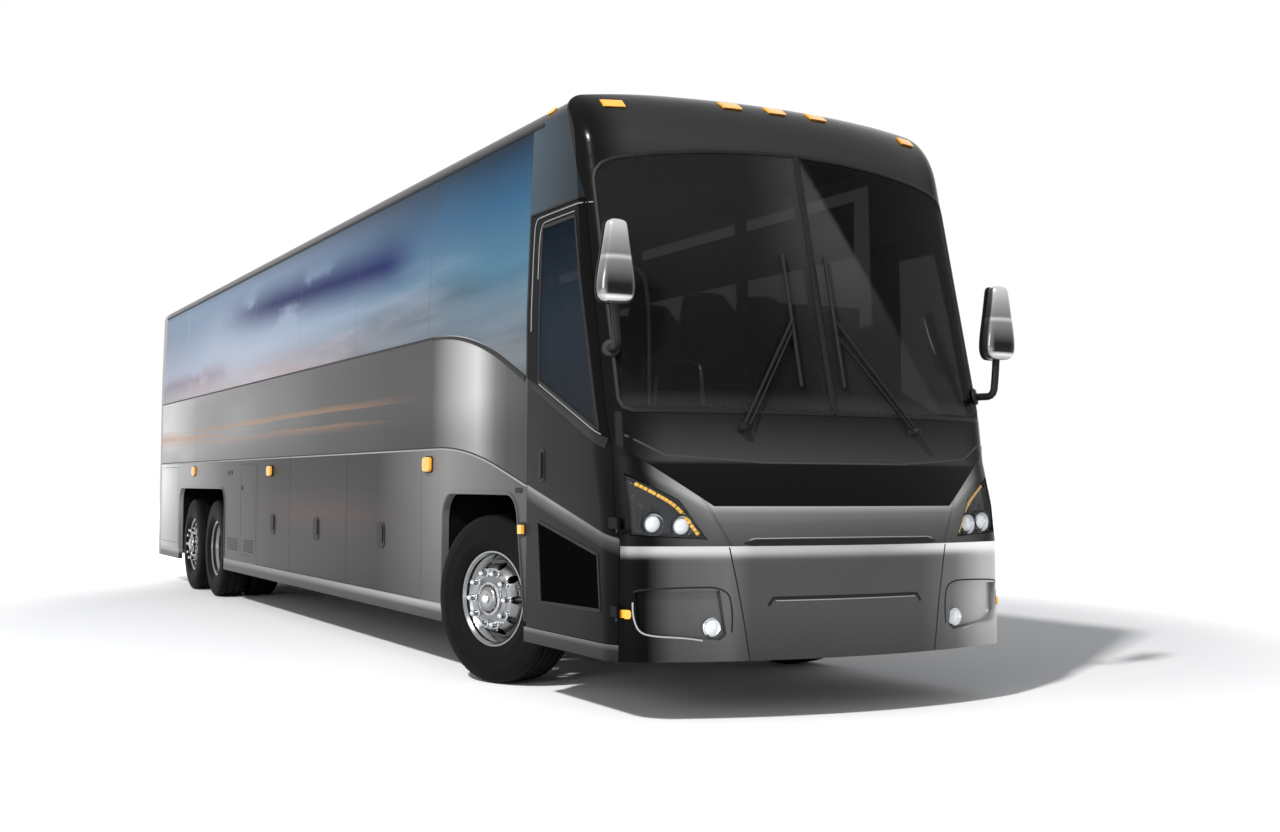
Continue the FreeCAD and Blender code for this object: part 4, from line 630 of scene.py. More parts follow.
class Form:
    """Points and faces gathered for one piece."""

    def __init__(self):
        self.points = []
        self.faces = []

    def grid(self, points, round_rows=False, round_columns=False):
        """Quads over a table of points, closed along either way where asked."""
        points = np.asarray(points, float)
        rows, columns = points.shape[:2]
        start = sum(len(part) for part in self.points)
        self.points.append(points.reshape(-1, 3))
        row = np.arange(rows if round_rows else rows - 1)
        column = np.arange(columns if round_columns else columns - 1)
        row, column = [part.ravel() for part in np.meshgrid(row, column, indexing="ij")]
        after_row = (row + 1) % rows
        after_column = (column + 1) % columns
        corners = [
            row * columns + column,
            row * columns + after_column,
            after_row * columns + after_column,
            after_row * columns + column,
        ]
        self.faces += (np.stack(corners, 1) + start).tolist()
        return self

    def loop(self, points):
        """One face through a ring of points."""
        start = sum(len(part) for part in self.points)
        self.points.append(np.asarray(points, float))
        self.faces.append(list(range(start, start + len(points))))
        return self

    def ends(self, rings):
        """A skin over rings of points, with a face over the first and the last."""
        self.grid(rings, round_columns=True)
        self.loop(rings[0][::-1])
        return self.loop(rings[-1])

    def made(self, name, material, body="root", angle=40.0, bevel=0.0, wall=0.0):
        """The piece itself, its faces joined and turned outwards, shaded smooth below an angle."""
        mesh = bpy.data.meshes.new(name)
        mesh.from_pydata(np.concatenate(self.points).tolist(), [], self.faces)
        welded = bmesh.new()
        welded.from_mesh(mesh)
        bmesh.ops.remove_doubles(welded, verts=welded.verts, dist=2e-6)
        bmesh.ops.recalc_face_normals(welded, faces=welded.faces)
        welded.to_mesh(mesh)
        welded.free()
        mesh.materials.append(material)
        mesh.polygons.foreach_set("use_smooth", [True] * len(mesh.polygons))
        mesh.set_sharp_from_angle(angle=math.radians(angle))
        thing = bpy.data.objects.new(name, mesh)
        bpy.context.scene.collection.objects.link(thing)
        if wall:
            thing.modifiers.new("wall", "SOLIDIFY").thickness = wall
        if bevel:
            soft = thing.modifiers.new("bevel", "BEVEL")
            soft.width = bevel
            soft.segments = 2
            soft.limit_method = "ANGLE"
        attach(thing, body)
        return thing


def forms(count):
    """Empty forms, one for each piece that a function makes."""
    return [Form() for _ in range(count)]


def across_axes(axis):
    """An axis as a unit, and two directions square to it."""
    axis = np.asarray(axis, float) / np.linalg.norm(axis)
    helper = np.array([0.0, 0.0, 1.0]) if abs(axis[2]) < 0.9 else np.array([1.0, 0.0, 0.0])
    first = np.cross(helper, axis)
    first /= np.linalg.norm(first)
    return axis, first, np.cross(axis, first)


def spokes(axis, count, start=0.0):
    """An axis as a unit, and directions round it, evenly spread."""
    axis, first, second = across_axes(axis)
    turn = start + np.linspace(0.0, 2.0 * np.pi, count, endpoint=False)
    return axis, np.cos(turn)[:, None] * first + np.sin(turn)[:, None] * second


def lathe(form, profile, centre, axis, turns):
    """A profile of (radius, along) pairs turned round an axis through a centre, and closed."""
    axis, ring = spokes(axis, turns)
    profile = np.asarray(profile, float)
    starts, stops = profile[[0, -1], 0] < 1e-9
    if stops and not starts:
        profile = np.vstack([(0.0, profile[0, 1]), profile])
    if starts and not stops:
        profile = np.vstack([profile, (0.0, profile[-1, 1])])
    points = profile[None, :, :1] * ring[:, None, :] + profile[None, :, 1:] * axis
    ring_only = not (starts or stops)
    return form.grid(points + np.asarray(centre, float), round_rows=True, round_columns=ring_only)


def tube(form, path, radius, sides=8):
    """A round bar along a path; its rings stand square to the run at each point."""
    path = np.asarray(path, float)
    run = np.gradient(path, axis=0)
    run /= np.linalg.norm(run, axis=1)[:, None]
    _, side, _ = across_axes(run[0])
    rings = []
    turn = np.linspace(0.0, 2.0 * np.pi, sides, endpoint=False)
    radius = np.broadcast_to(radius, len(path))
    for point, way, size in zip(path, run, radius):
        side = side - way * np.dot(side, way)
        side /= np.linalg.norm(side)
        other = np.cross(way, side)
        rings.append(point + size * (np.cos(turn)[:, None] * side + np.sin(turn)[:, None] * other))
    return form.ends(rings)


STRIP_FOOT = 0.001


def ribbon(form, spots, half, height):
    """A low strip with bevelled shoulders along spots of a surface, each a point and its normal."""
    path = np.array([point for point, _ in spots], float)
    normals = np.array([normal for _, normal in spots], float)
    run = np.gradient(path, axis=0)
    side = np.cross(normals, run)
    side /= np.linalg.norm(side, axis=1)[:, None]
    rise = [(1.0, -STRIP_FOOT), (0.92, height * 0.75), (0.6, height)]
    section = [(-across, up) for across, up in rise] + rise[::-1]
    half = np.broadcast_to(half, len(path))
    points = [path + side * (half * across)[:, None] + normals * up for across, up in section]
    form.grid(np.stack(points, 1), round_columns=True)
    form.loop([line[0] for line in points])
    return form.loop([line[-1] for line in points][::-1])


def slab(form, outline, depth):
    """A flat plate: an outline of points and the same outline moved by a depth, joined by a rim."""
    outline = np.asarray(outline, float)
    moved = outline + np.asarray(depth, float)
    form.loop(outline[::-1])
    form.loop(moved)
    return form.grid(np.stack([outline, moved], 1), round_rows=True)


def dense(points, step):
    """A run of corners with more points put in between them."""
    points = np.asarray(points, float)
    out = [points[:1]]
    for start, stop in zip(points, points[1:]):
        count = max(2, int(np.linalg.norm(stop - start) / step) + 1)
        out.append(start + (stop - start) * np.linspace(0.0, 1.0, count)[1:, None])
    return np.concatenate(out)


def smooth(points, rounds=3):
    """A run of points with its corners cut off again and again."""
    points = np.asarray(points, float)
    for _ in range(rounds):
        near = points[:-1] * 0.75 + points[1:] * 0.25
        far = points[:-1] * 0.25 + points[1:] * 0.75
        inner = np.stack([near, far], 1).reshape(-1, points.shape[1])
        points = np.concatenate([points[:1], inner, points[-1:]])
    return points


# The coach's outer skin, for pieces that lie on it


def skin_of(*names):
    """A search tree over the meshes of the nodes whose names start with one of these."""
    points, faces = [], []
    for node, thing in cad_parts.items():
        if not node.startswith(names):
            continue
        start = len(points)
        points += [vertex.co.copy() for vertex in thing.data.vertices]
        faces += [[start + number for number in face.vertices] for face in thing.data.polygons]
    return BVHTree.FromPolygons(points, faces)


BODY_SKIN = skin_of(
    "side_wall", "skirt", "bay_door", "rocker", "roof", "front_mask", "nose_panel", "front_bumper",
    "entry_door", "rear_cap", "rear_bumper", "engine_door", "windscreen", "side_glass",
)


def hit(origin, way, out=0.0):
    """The point where a ray meets the skin, moved out along its normal, and that normal."""
    place, normal, _, _ = BODY_SKIN.ray_cast(Vector(origin), Vector(way).normalized())
    if place is None:
        raise ValueError("no skin at " + repr(tuple(origin)))
    if normal.dot(Vector(way)) > 0:
        normal = -normal
    return np.array(place + normal * out), np.array(normal)


def on_side(sign, x, z, beside=0.0):
    """A place on the side wall, whose depth may be read a little beside it, off a recess or an edge."""
    point, normal = hit((x + beside, 2.0 * sign, z), (0.0, -sign, 0.0))
    point[0] -= beside
    return point, normal


def on_face(y, z, out=0.0):
    """A place on the front."""
    return hit((8.5, y, z), (-1.0, 0.0, 0.0), out)


def on_tail(y, z, out=0.0):
    """A place on the tail."""
    return hit((-8.5, y, z), (1.0, 0.0, 0.0), out)


def side_strip(form, sign, corners, half, height, step=0.06):
    """A ribbon over the side through (x, z) corners."""
    return ribbon(form, [on_side(sign, x, z) for x, z in dense(corners, step)], half, height)


def face_strip(form, corners, half, height, step=0.04, place=on_face):
    """A ribbon over the front or the tail through (y, z) corners."""
    return ribbon(form, [place(y, z) for y, z in dense(corners, step)], half, height)


PLATE_FOOT = 0.001


def pad(form, spot, normal, half_along, half_up, depth, square=5.0):
    """A rounded plate on the skin, level along it and standing out by a depth."""
    normal = np.asarray(normal)
    along = np.cross((0.0, 0.0, 1.0), normal)
    along /= np.linalg.norm(along)
    up = np.cross(normal, along)
    turn = np.linspace(0.0, 2.0 * np.pi, 28, endpoint=False)[:, None]
    reach = (np.abs(np.cos(turn)) ** square + np.abs(np.sin(turn)) ** square) ** (-1.0 / square)
    ring = spot + along * half_along * reach * np.cos(turn) + up * half_up * reach * np.sin(turn)
    return slab(form, ring - normal * PLATE_FOOT, normal * (depth + PLATE_FOOT))


def mirrored(points, sign):
    """Points of (y, z) or (x, y, z), on the other side of the coach where the sign is negative."""
    return [(*point[:-2], point[-2] * sign, point[-1]) for point in points]


def dome(radius, foot, rise, count):
    """The profile of a lens, from its rim at a foot height to its crown."""
    turn = np.linspace(0.0, math.pi / 2, count)
    return [(radius * math.cos(t), foot + rise * math.sin(t)) for t in turn]


def swoosh(start, height, radius, sweep, stop):
    """A level line that bends down on an arc and runs on straight, as (x, z) points."""
    turn = np.linspace(0.0, sweep, 24)
    arc = np.stack([start + radius * np.sin(turn), height - radius * (1.0 - np.cos(turn))], 1)
    end = (stop, arc[-1, 1] - (stop - arc[-1, 0]) * math.tan(sweep))
    return np.concatenate([arc, [end]])


def belt_to(stop):
    """The line under the windows, which falls to the front."""
    return swoosh(3.800, 2.256, 3.690, BELT_FALL, stop)


def bag_to(stop):
    """The line over the luggage doors, which falls to the front."""
    return swoosh(3.900, 1.497, 4.620, math.radians(13.8), stop)


# Wheels and tyres


def wheel_sets():
    """Each wheel body with its centre, its outward axis and whether it is a pair."""
    lean = Vector((-math.sin(STEER_AT_REST), math.cos(STEER_AT_REST), 0.0))
    for side, sign in SIDES.items():
        pivot = Vector((FRONT_AXLE, 0.950 * sign, TYRE_RADIUS))
        yield "front", side, pivot + lean * (0.165 * sign), lean * sign, False
        yield "drive", side, Vector((DRIVE_AXLE, 0.947 * sign, TYRE_RADIUS)), Vector((0, sign, 0)), True
        yield "tag", side, Vector((TAG_AXLE, 1.115 * sign, TYRE_RADIUS)), Vector((0, sign, 0)), False


# The middles of the tread's grooves, by whether the tyre is a lugged one of a drive wheel
GROOVES = {False: (-0.078, -0.027, 0.027, 0.078), True: (-0.072, 0.0, 0.072)}
GROOVE_HALF = 0.006
GROOVE_DEPTH = 0.012
TYRE_STEPS = 180
# One side of a tyre from its bead to its shoulder, as (radius, along) pairs
TYRE_SIDE = [
    (0.2863, 0.110), (0.3015, 0.112), (0.304, 0.127), (0.316, 0.138), (0.322, 0.1385), (0.326, 0.1425),
    (0.352, 0.1505), (0.356, 0.1530), (0.372, 0.1555), (0.376, 0.1545), (0.402, 0.1558), (0.440, 0.1545),
    (0.446, 0.1555), (0.452, 0.1535), (0.478, 0.1485), (0.492, 0.1445), (0.508, 0.1385), (0.519, 0.1310),
    (0.5265, 0.1190), (0.5280, 0.110),
]


def tyre_profile(lugged):
    """A tyre's section as (radius, along) pairs from one bead to the other, with its grooves."""
    crown = []
    edges = [middle + side * GROOVE_HALF for middle in GROOVES[lugged] for side in (-1, 1)]
    for number, edge in enumerate(sorted(edges, reverse=True)):
        top = TYRE_RADIUS - 0.002 * (edge / 0.11) ** 2
        inward = -0.0015 if number % 2 == 0 else 0.0015
        pair = [(top, edge), (top - GROOVE_DEPTH, edge + inward)]
        crown += pair if number % 2 == 0 else pair[::-1]
    other = [(radius, -along) for radius, along in reversed(TYRE_SIDE)]
    return np.array(TYRE_SIDE + crown + other)


def tyre(form, centre, axis, lugged):
    """The section carried round the axle; shoulder blocks are cut by cross grooves."""
    period, depth, inner = (5, 0.010, 0.078) if lugged else (3, 0.003, 0.098)
    axis, ring = spokes(axis, TYRE_STEPS)
    radius, along = np.repeat(tyre_profile(lugged)[None], TYRE_STEPS, 0).transpose(2, 0, 1)
    shoulder = (np.abs(along) > inner) & (radius > 0.512)
    cut = (np.arange(TYRE_STEPS) % period == 0)[:, None] & shoulder
    radius = radius - np.where(cut, depth, 0.0)
    points = radius[:, :, None] * ring[:, None, :] + along[:, :, None] * axis + np.asarray(centre)
    return form.grid(points, round_rows=True, round_columns=True)


# Lathe profiles here and below are (radius, along) pairs
NUT_COVER = [(0.027, 0.0), (0.027, 0.005), (0.0195, 0.009), (0.0185, 0.046), (0.013, 0.053), (0.0, 0.054)]
TWIN_SHIFT = 0.168
# Along the axle: the disc's face, the hub cap's step and its middle; then the circle of the cap's bolts
SINGLE_HUB = {"disc": 0.128, "step": 0.143, "face": 0.176, "bolts": 0.094}
TWIN_HUB = {"disc": 0.022, "step": 0.086, "face": 0.132, "bolts": 0.088}


def hex_nut(form, centre, axis, radius, height):
    """A nut with its stud's end and a washer below."""
    washer = [(radius * 1.25, 0.0), (radius * 1.25, 0.004), (radius * 0.9, 0.005)]
    nut = [(radius, 0.004), (radius, height * 0.8), (radius * 0.75, height), (0.0, height)]
    tip = height + 0.014
    stud = [(radius * 0.5, height), (radius * 0.5, height + 0.010), (radius * 0.35, tip), (0.0, tip)]
    for profile, turns in ((washer, 12), (nut, 6), (stud, 8)):
        lathe(form, profile, centre, axis, turns)


def ring_spots(centre, axis, radius, count, along=0.0, start=0.0):
    """Points on a circle round an axis."""
    axis, ring = spokes(axis, count, start)
    return np.asarray(centre) + axis * along + radius * ring


def add_wheels():
    """On every wheel the treaded tyre, nut covers, the hub cap with its nuts, a lip and the valve."""
    for place, side, centre, axis, paired in wheel_sets():
        where = "%s_%s" % (place, side)
        body = "wheel_" + where
        hub = TWIN_HUB if paired else SINGLE_HUB
        rubber, nuts, trim = forms(3)
        for shift in (-TWIN_SHIFT, TWIN_SHIFT) if paired else (0.0,):
            tyre(rubber, centre + axis * shift, axis, paired)
        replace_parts(rubber.made("treaded_tyre_" + where, RUBBER, body), "tyre_" + where)
        for spot in ring_spots(centre, axis, 0.1675, 10, hub["disc"]):
            lathe(nuts, NUT_COVER, spot, axis, 16)
        for spot in ring_spots(centre, axis, hub["bolts"], 8, hub["step"], 0.2):
            hex_nut(nuts, spot, axis, 0.007, 0.010)
        face = hub["face"]
        cap = [(0.030, face), (0.030, face + 0.006), (0.024, face + 0.010), (0.0, face + 0.011)]
        lathe(nuts, cap, centre, axis, 24)
        nuts.made("wheel_nuts_" + where, CHROME, body, angle=30)
        step = hub["step"]
        lip = [(0.0945, step), (0.104, step + 0.002), (0.104, step + 0.006), (0.090, step + 0.009)]
        lathe(trim, lip, centre, axis, 40)
        valve = ring_spots(centre, axis, 0.236, 1, 0.10, 0.31)[0]
        tube(trim, [valve + np.array(axis) * along for along in (-0.03, 0.02, 0.035)], 0.005)
        trim.made("wheel_trim_" + where, STEEL, body, angle=30)


# Front: lamps, seals, wipers and mirrors


# Headlamp corners, places and lines are (y, z) on the left side, mirrored for the right
HEADLAMP_POCKET = [(0.829, 0.970), (1.206, 0.990), (1.206, 1.302), (0.962, 1.172)]
HEADLAMP_PLACES = ((0.945, 1.033), (1.090, 1.045))
HEADLAMP_RING = [(0.066, 0.0), (0.066, 0.024), (0.062, 0.028), (0.056, 0.026)]
HEADLAMP_BOWL = [
    (0.056, 0.026), (0.052, 0.012), (0.044, 0.004), (0.0, 0.003),
    (0.0, 0.001), (0.046, 0.002), (0.054, 0.010), (0.057, 0.026),
]
POCKET_DEPTH = 0.030
LINING_LIFT = 0.003
LED_LINE = [(1.160, 1.258), (1.080, 1.213), (0.966, 1.142), (0.902, 1.049), (0.862, 0.990)]
LED_COUNT = 18
LED_HALF = 0.0095
FOG_LAMP_RING = [(0.052, -0.006), (0.052, 0.016), (0.047, 0.020), (0.042, 0.016)]
FOG_LAMP_BOWL = [(0.042, 0.016), (0.034, 0.008), (0.0, 0.003), (0.0, 0.0015), (0.036, 0.006), (0.043, 0.016)]


def ring_surface(form, outer_ring, inner_ring):
    """A band between two rings with the same number of points."""
    return form.grid(np.stack([outer_ring, inner_ring], 1), round_rows=True)


def add_bezel(side, floor):
    """The dark lining of a lamp pocket, from its rim down to its floor and over that."""
    bezel = Form()
    ring_surface(bezel, floor + (POCKET_DEPTH, 0.0, 0.0), floor)
    centre = floor.mean(0)
    rings = []
    for share in (1.0, 0.75, 0.5, 0.25, 0.02):
        ring = centre + (floor - centre) * share
        rings.append(np.array([on_face(y, z, LINING_LIFT)[0] for _, y, z in ring]))
    for outer_ring, inner_ring in zip(rings, rings[1:]):
        ring_surface(bezel, outer_ring, inner_ring)
    bezel.made("headlamp_bezel_" + side, BLACK, angle=30, wall=0.0005)


def add_led_cells(side, sign):
    """A row of amber cells along the upper and inner edge of a lamp pocket."""
    cells = Form()
    run = dense(smooth(LED_LINE, 2), 0.004)
    length = np.concatenate([[0.0], np.cumsum(np.linalg.norm(np.diff(run, axis=0), axis=1))])
    for number in range(LED_COUNT):
        near = int(np.searchsorted(length, length[-1] * (number + 0.5) / LED_COUNT))
        way = run[min(near + 2, len(run) - 1)] - run[max(near - 2, 0)]
        way = way / np.linalg.norm(way)
        across = np.array([-way[1], way[0]])
        outline = []
        for along, aside in ((-1, -1), (1, -1), (1, 1), (-1, 1)):
            y, z = run[near] + (way * along + across * aside) * LED_HALF
            outline.append(on_face(y * sign, z, 0.004)[0])
        slab(cells, outline[:: int(sign)], (0.012, 0.0, 0.0))
    cells.made("led_cells_" + side, LED, angle=30, bevel=0.003)


def add_headlamps():
    """A dark bezel, two round projector lamps, amber cells and a clear cover in each nose pocket."""
    for side, sign in SIDES.items():
        edge = dense(HEADLAMP_POCKET + HEADLAMP_POCKET[:1], 0.03)[:-1]
        floor = np.array([on_face(y, z, LINING_LIFT)[0] for y, z in mirrored(edge, sign)])
        add_bezel(side, floor)
        rings, bowls, eyes, cover = forms(4)
        aim = Vector((1.0, 0.12 * sign, 0.0)).normalized()
        for y, z in HEADLAMP_PLACES:
            base = on_face(y * sign, z)[0] - np.array(aim) * 0.004
            lathe(rings, HEADLAMP_RING, base, aim, 40)
            lathe(bowls, HEADLAMP_BOWL, base, aim, 40)
            lathe(eyes, dome(0.044, 0.006, 0.020, 8), base, aim, 32)
        rings.made("headlamp_rings_" + side, DARK)
        bowls.made("headlamp_bowls_" + side, BOWL)
        lens = eyes.made("headlamp_lenses_" + side, LENS, angle=60)
        if side == "right":
            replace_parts(lens, "front_lamps")
        add_led_cells(side, sign)
        cover.loop(floor[:: int(sign)] + (POCKET_DEPTH + 0.0002, 0.0, 0.0))
        cover.made("headlamp_cover_" + side, CLEAR, angle=60, wall=0.0005)


def add_fog_lamps():
    """A chrome ring, a bowl and a domed lens in each fog lamp pocket."""
    for side, sign in SIDES.items():
        base, _ = on_face(0.800 * sign, 0.505, 0.001)
        aim = Vector((1.0, 0.10 * sign, 0.0)).normalized()
        ring, bowl, eye = forms(3)
        lathe(ring, FOG_LAMP_RING, base, aim, 40)
        lathe(bowl, FOG_LAMP_BOWL, base, aim, 32)
        lathe(eye, dome(0.040, 0.010, 0.009, 6), base, aim, 32)
        ring.made("fog_lamp_ring_" + side, CHROME)
        bowl.made("fog_lamp_bowl_" + side, BOWL)
        eye.made("fog_lamp_lens_" + side, LENS, angle=60)


def screen_outline(sign, grow):
    """The edge of one half of the windscreen as (y, z) points, moved outwards by a distance."""
    near, far = 0.012 - grow, 1.205 + grow
    low, high = 1.652 - grow, 3.160 + grow
    middle = (near + far) / 2
    points = [
        (near, low), (far - 0.060, low), (far - 0.017, low + 0.017), (far, low + 0.060),
        (far, high - 0.215), (far - 0.012, high - 0.165), (far - 0.045, high - 0.122),
        (far - 0.120, high - 0.087), (middle + 0.28, high - 0.052), (middle, high - 0.024),
        (middle - 0.28, high - 0.007), (near, high),
    ]
    return mirrored(points, sign)


def add_screen_seals():
    """Rubber round both panes, the divider, and the thin line of the lower mask glass."""
    seal, line = forms(2)
    for sign in SIDES.values():
        outline = screen_outline(sign, 0.004)
        face_strip(seal, outline + outline[:1], 0.011, 0.006)
    face_strip(seal, [(0.0, 1.655), (0.0, 3.155)], 0.012, 0.009)
    seal.made("screen_seals", DARK)
    bend = smooth([(-1.195, 1.515), (-0.93, 1.374), (0.93, 1.374), (1.195, 1.515)], 1)
    face_strip(line, bend, 0.006, 0.0025)
    line.made("mask_glass_edge", PAINT_DARK)


# Each wiper's pivot and blade, measured to the left of the middle
WIPERS = ((-0.580, -0.200), (0.560, 0.080))
WIPER_CAP = [(0.0, 0.060), (0.014, 0.058), (0.024, 0.045), (0.026, 0.006), (0.030, 0.001)]


def add_wiper_details():
    """A second rod beside each arm, its pivot's cap, the blade's spine and clips, and its rubber."""
    rods, rubber = forms(2)
    for pivot, blade in WIPERS:
        foot = on_face(pivot * 0.93, 1.575, 0.036)[0]
        top = on_face(blade - 0.012, 2.10, 0.030)[0]
        tube(rods, [foot, foot * 0.5 + top * 0.5, top], 0.0055)
        lathe(rods, WIPER_CAP, *on_face(pivot, 1.560), 20)
        tube(rods, [on_face(blade, z, 0.030)[0] for z in np.linspace(1.80, 2.54, 16)], 0.0065)
        ribbon(rubber, [on_face(blade, z, 0.008) for z in np.linspace(1.79, 2.55, 16)], 0.003, 0.016)
        for z in (1.86, 2.00, 2.17, 2.34, 2.48):
            low, high = on_face(blade, z - 0.03, 0.022)[0], on_face(blade, z + 0.03, 0.022)[0]
            tube(rods, [low, (low + high) / 2, high], 0.010, 6)
    rods.made("wiper_rods", DARK)
    rubber.made("wiper_rubbers", DARK)


MIRROR_X = 6.620
MIRROR_Y = 1.285
MIRROR_TALL = 0.444
MIRROR_FEET = {"right": 2.203, "left": 2.013}
# A mirror head from its foot to its top: share of its height, half width and half depth
MIRROR_ROWS = [
    (0.00, 0.040, 0.016), (0.01, 0.074, 0.036), (0.06, 0.098, 0.052), (0.16, 0.110, 0.058),
    (0.34, 0.103, 0.058), (0.62, 0.080, 0.054), (0.88, 0.062, 0.048), (0.97, 0.056, 0.040),
    (1.00, 0.036, 0.020),
]


def mirror_rings(rows, y, low):
    """Squarish rings of a mirror head, one for each row."""
    turn = np.linspace(0.0, 2.0 * np.pi, 44, endpoint=False)
    across = np.sign(np.cos(turn)) * np.abs(np.cos(turn)) ** 0.75
    beside = np.sign(np.sin(turn)) * np.abs(np.sin(turn)) ** 0.75
    rings = []
    for share, wide, deep in rows:
        height = np.full_like(turn, low + MIRROR_TALL * share)
        rings.append(np.stack([MIRROR_X + deep * across, y + wide * beside, height], 1))
    return rings


def mirror_plate(form, rows, y, low, x, share, depth):
    """A plate behind a mirror head that follows a share of its width."""
    edge = [(x, share * wide, low + MIRROR_TALL * height) for height, wide in rows]
    right = [(px, y + reach, z) for px, reach, z in edge]
    left = [(px, y - reach, z) for px, reach, z in reversed(edge)]
    return slab(form, right + left, (-depth, 0.0, 0.0))


def add_mirror_details():
    """A chrome shell for each head, a black back plate, a glass in two parts and the bent arm."""
    shell = Form()
    rows = smooth(MIRROR_ROWS, 2)
    for side, sign in SIDES.items():
        y, low = MIRROR_Y * sign, MIRROR_FEET[side]
        shell.ends(mirror_rings(rows, y, low))
        back, glasses, arm = forms(3)
        mirror_plate(back, rows[:, :2], y, low, 6.572, 0.90, 0.014)
        back.made("mirror_back_" + side, DARK)
        for part in ((0.10, 0.38), (0.42, 0.90)):
            pane = [(share, np.interp(share, rows[:, 0], rows[:, 1])) for share in part]
            mirror_plate(glasses, pane, y, low, 6.558, 0.80, 0.004)
        glasses.made("mirror_glass_" + side, CHROME, bevel=0.002)
        foot = low - 0.218
        path = [
            (6.395, 1.215, foot), (6.50, 1.238, foot), (6.600, 1.262, foot), (6.600, 1.275, foot + 0.105),
            (6.600, MIRROR_Y, low + 0.02),
        ]
        tube(arm, smooth(mirrored(path, sign), 2), 0.022, 12)
        flange = [(0.052, 0.0), (0.052, 0.010), (0.044, 0.018), (0.0, 0.020)]
        lathe(arm, flange, *on_face(1.215 * sign, foot), 24)
        arm.made("mirror_arm_" + side, DARK)
    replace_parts(shell.made("mirror_shells", MIRROR_SHELL, angle=60), "mirrors")


# Sides, tail and roof


TAIL_END = -6.56
DOOR_REAR = 5.46
# Each arch's rear and front edge, and how far forward the foot of its front edge leans
ARCHES = ((4.030, 5.330, 0.110), (-5.340, -2.790, 0.0))
ARCH_TOP = 1.185
ARCH_BEND = 0.175
ARCH_FOOT = 0.46
LIP_SHIFT = 0.012


def add_mouldings():
    """Black mouldings on the belt and cant lines, and a seam on the bag line with a strip of painted
    highlight under it.
    """
    belt, door_belt, cant, bag, edge = forms(5)
    line = dense(belt_to(6.480), 0.06)
    width = np.interp(line[:, 0], [3.8, 5.4, 6.5], [0.007, 0.020, 0.030])
    for side, sign in SIDES.items():
        spots = [on_side(sign, x, z - 0.012) for x, z in line]
        fixed = sum(line[:, 0] < DOOR_REAR) if side == "right" else len(line)
        ribbon(belt, spots[:fixed], width[:fixed], 0.005)
        if side == "right":
            moved = sum(line[:, 0] < DOOR_REAR + 0.04)
            ribbon(door_belt, spots[moved:], width[moved:], 0.005)
        side_strip(belt, sign, [(TAIL_END, 2.254), (3.80, 2.254)], 0.007, 0.004, 0.5)
        side_strip(cant, sign, [(TAIL_END, 3.366), (5.60, 3.366)], 0.010, 0.006, 0.5)
        curve = np.concatenate([[(TAIL_END, 1.497)], bag_to(5.465 if side == "right" else 6.55)])
        side_strip(bag, sign, curve, 0.0045, 0.0012, 0.08)
        # A strip of painted highlight just under the bag line's seam.
        side_strip(edge, sign, curve - (0.0, 0.011), 0.0055, 0.0016, 0.08)
    belt.made("belt_mouldings", DARK)
    door_belt.made("door_belt_moulding", DARK, "entry_door")
    cant.made("cant_mouldings", DARK)
    bag.made("bag_line_seams", DARK)
    edge.made("bag_line_highlights", PALE_PAINT_AND_HIGHLIGHT)


def add_arch_lips():
    """A rolled lip round each wheel arch, just outside its edge."""
    lips = Form()
    turn = np.linspace(0.0, math.pi / 2, 9)
    run, drop = ARCH_BEND * (1.0 - np.cos(turn)), ARCH_BEND * (1.0 - np.sin(turn))
    for sign in SIDES.values():
        for rear, front, lean in ARCHES:
            path = [(rear, ARCH_FOOT), *zip(rear + run, ARCH_TOP - drop)]
            path += [*zip(front - drop, ARCH_TOP - run), (front + lean, ARCH_FOOT)]
            middle = (rear + front) / 2
            path = [(x + math.copysign(LIP_SHIFT, x - middle), z + LIP_SHIFT * (z > 1.0)) for x, z in path]
            side_strip(lips, sign, path, 0.010, 0.007, 0.05)
    lips.made("arch_lips", SKIRT_PAINT)


def add_bay_handles():
    """A black plate and paddle over each bay door's recess, which ride on their door."""
    for bay, (rear, front) in BAYS.items():
        for side, sign in SIDES.items():
            handle = Form()
            where = "%s_%s" % (bay, side)
            spot, normal = on_side(sign, (rear + front) / 2, 0.865, beside=0.050)
            pad(handle, spot, normal, 0.095, 0.100, 0.004, 3.5)
            pad(handle, spot + (0.0, 0.004 * sign, 0.012), normal, 0.060, 0.064, 0.007)
            handle.made("bay_handle_" + where, DARK, "bay_door_" + where, bevel=0.001)


LOWER_PANE = [(5.690, 0.575), (6.475, 0.585), (6.440, 0.880), (5.635, 1.040)]
# Light lines on the door's frame, by their half width
FRAME_LINES = {
    0.0035: [(5.520, 2.15), (5.520, 2.735), (5.548, 2.806), (5.60, 2.815), (6.20, 2.815)],
    0.0030: [(5.600, 2.45), (5.600, 2.700), (5.640, 2.772), (5.70, 2.778), (6.08, 2.778)],
}


def over_belt(x, rise):
    """A point at a height over the belt line."""
    return x, float(np.interp(x, *belt_to(7.0).T)) + rise


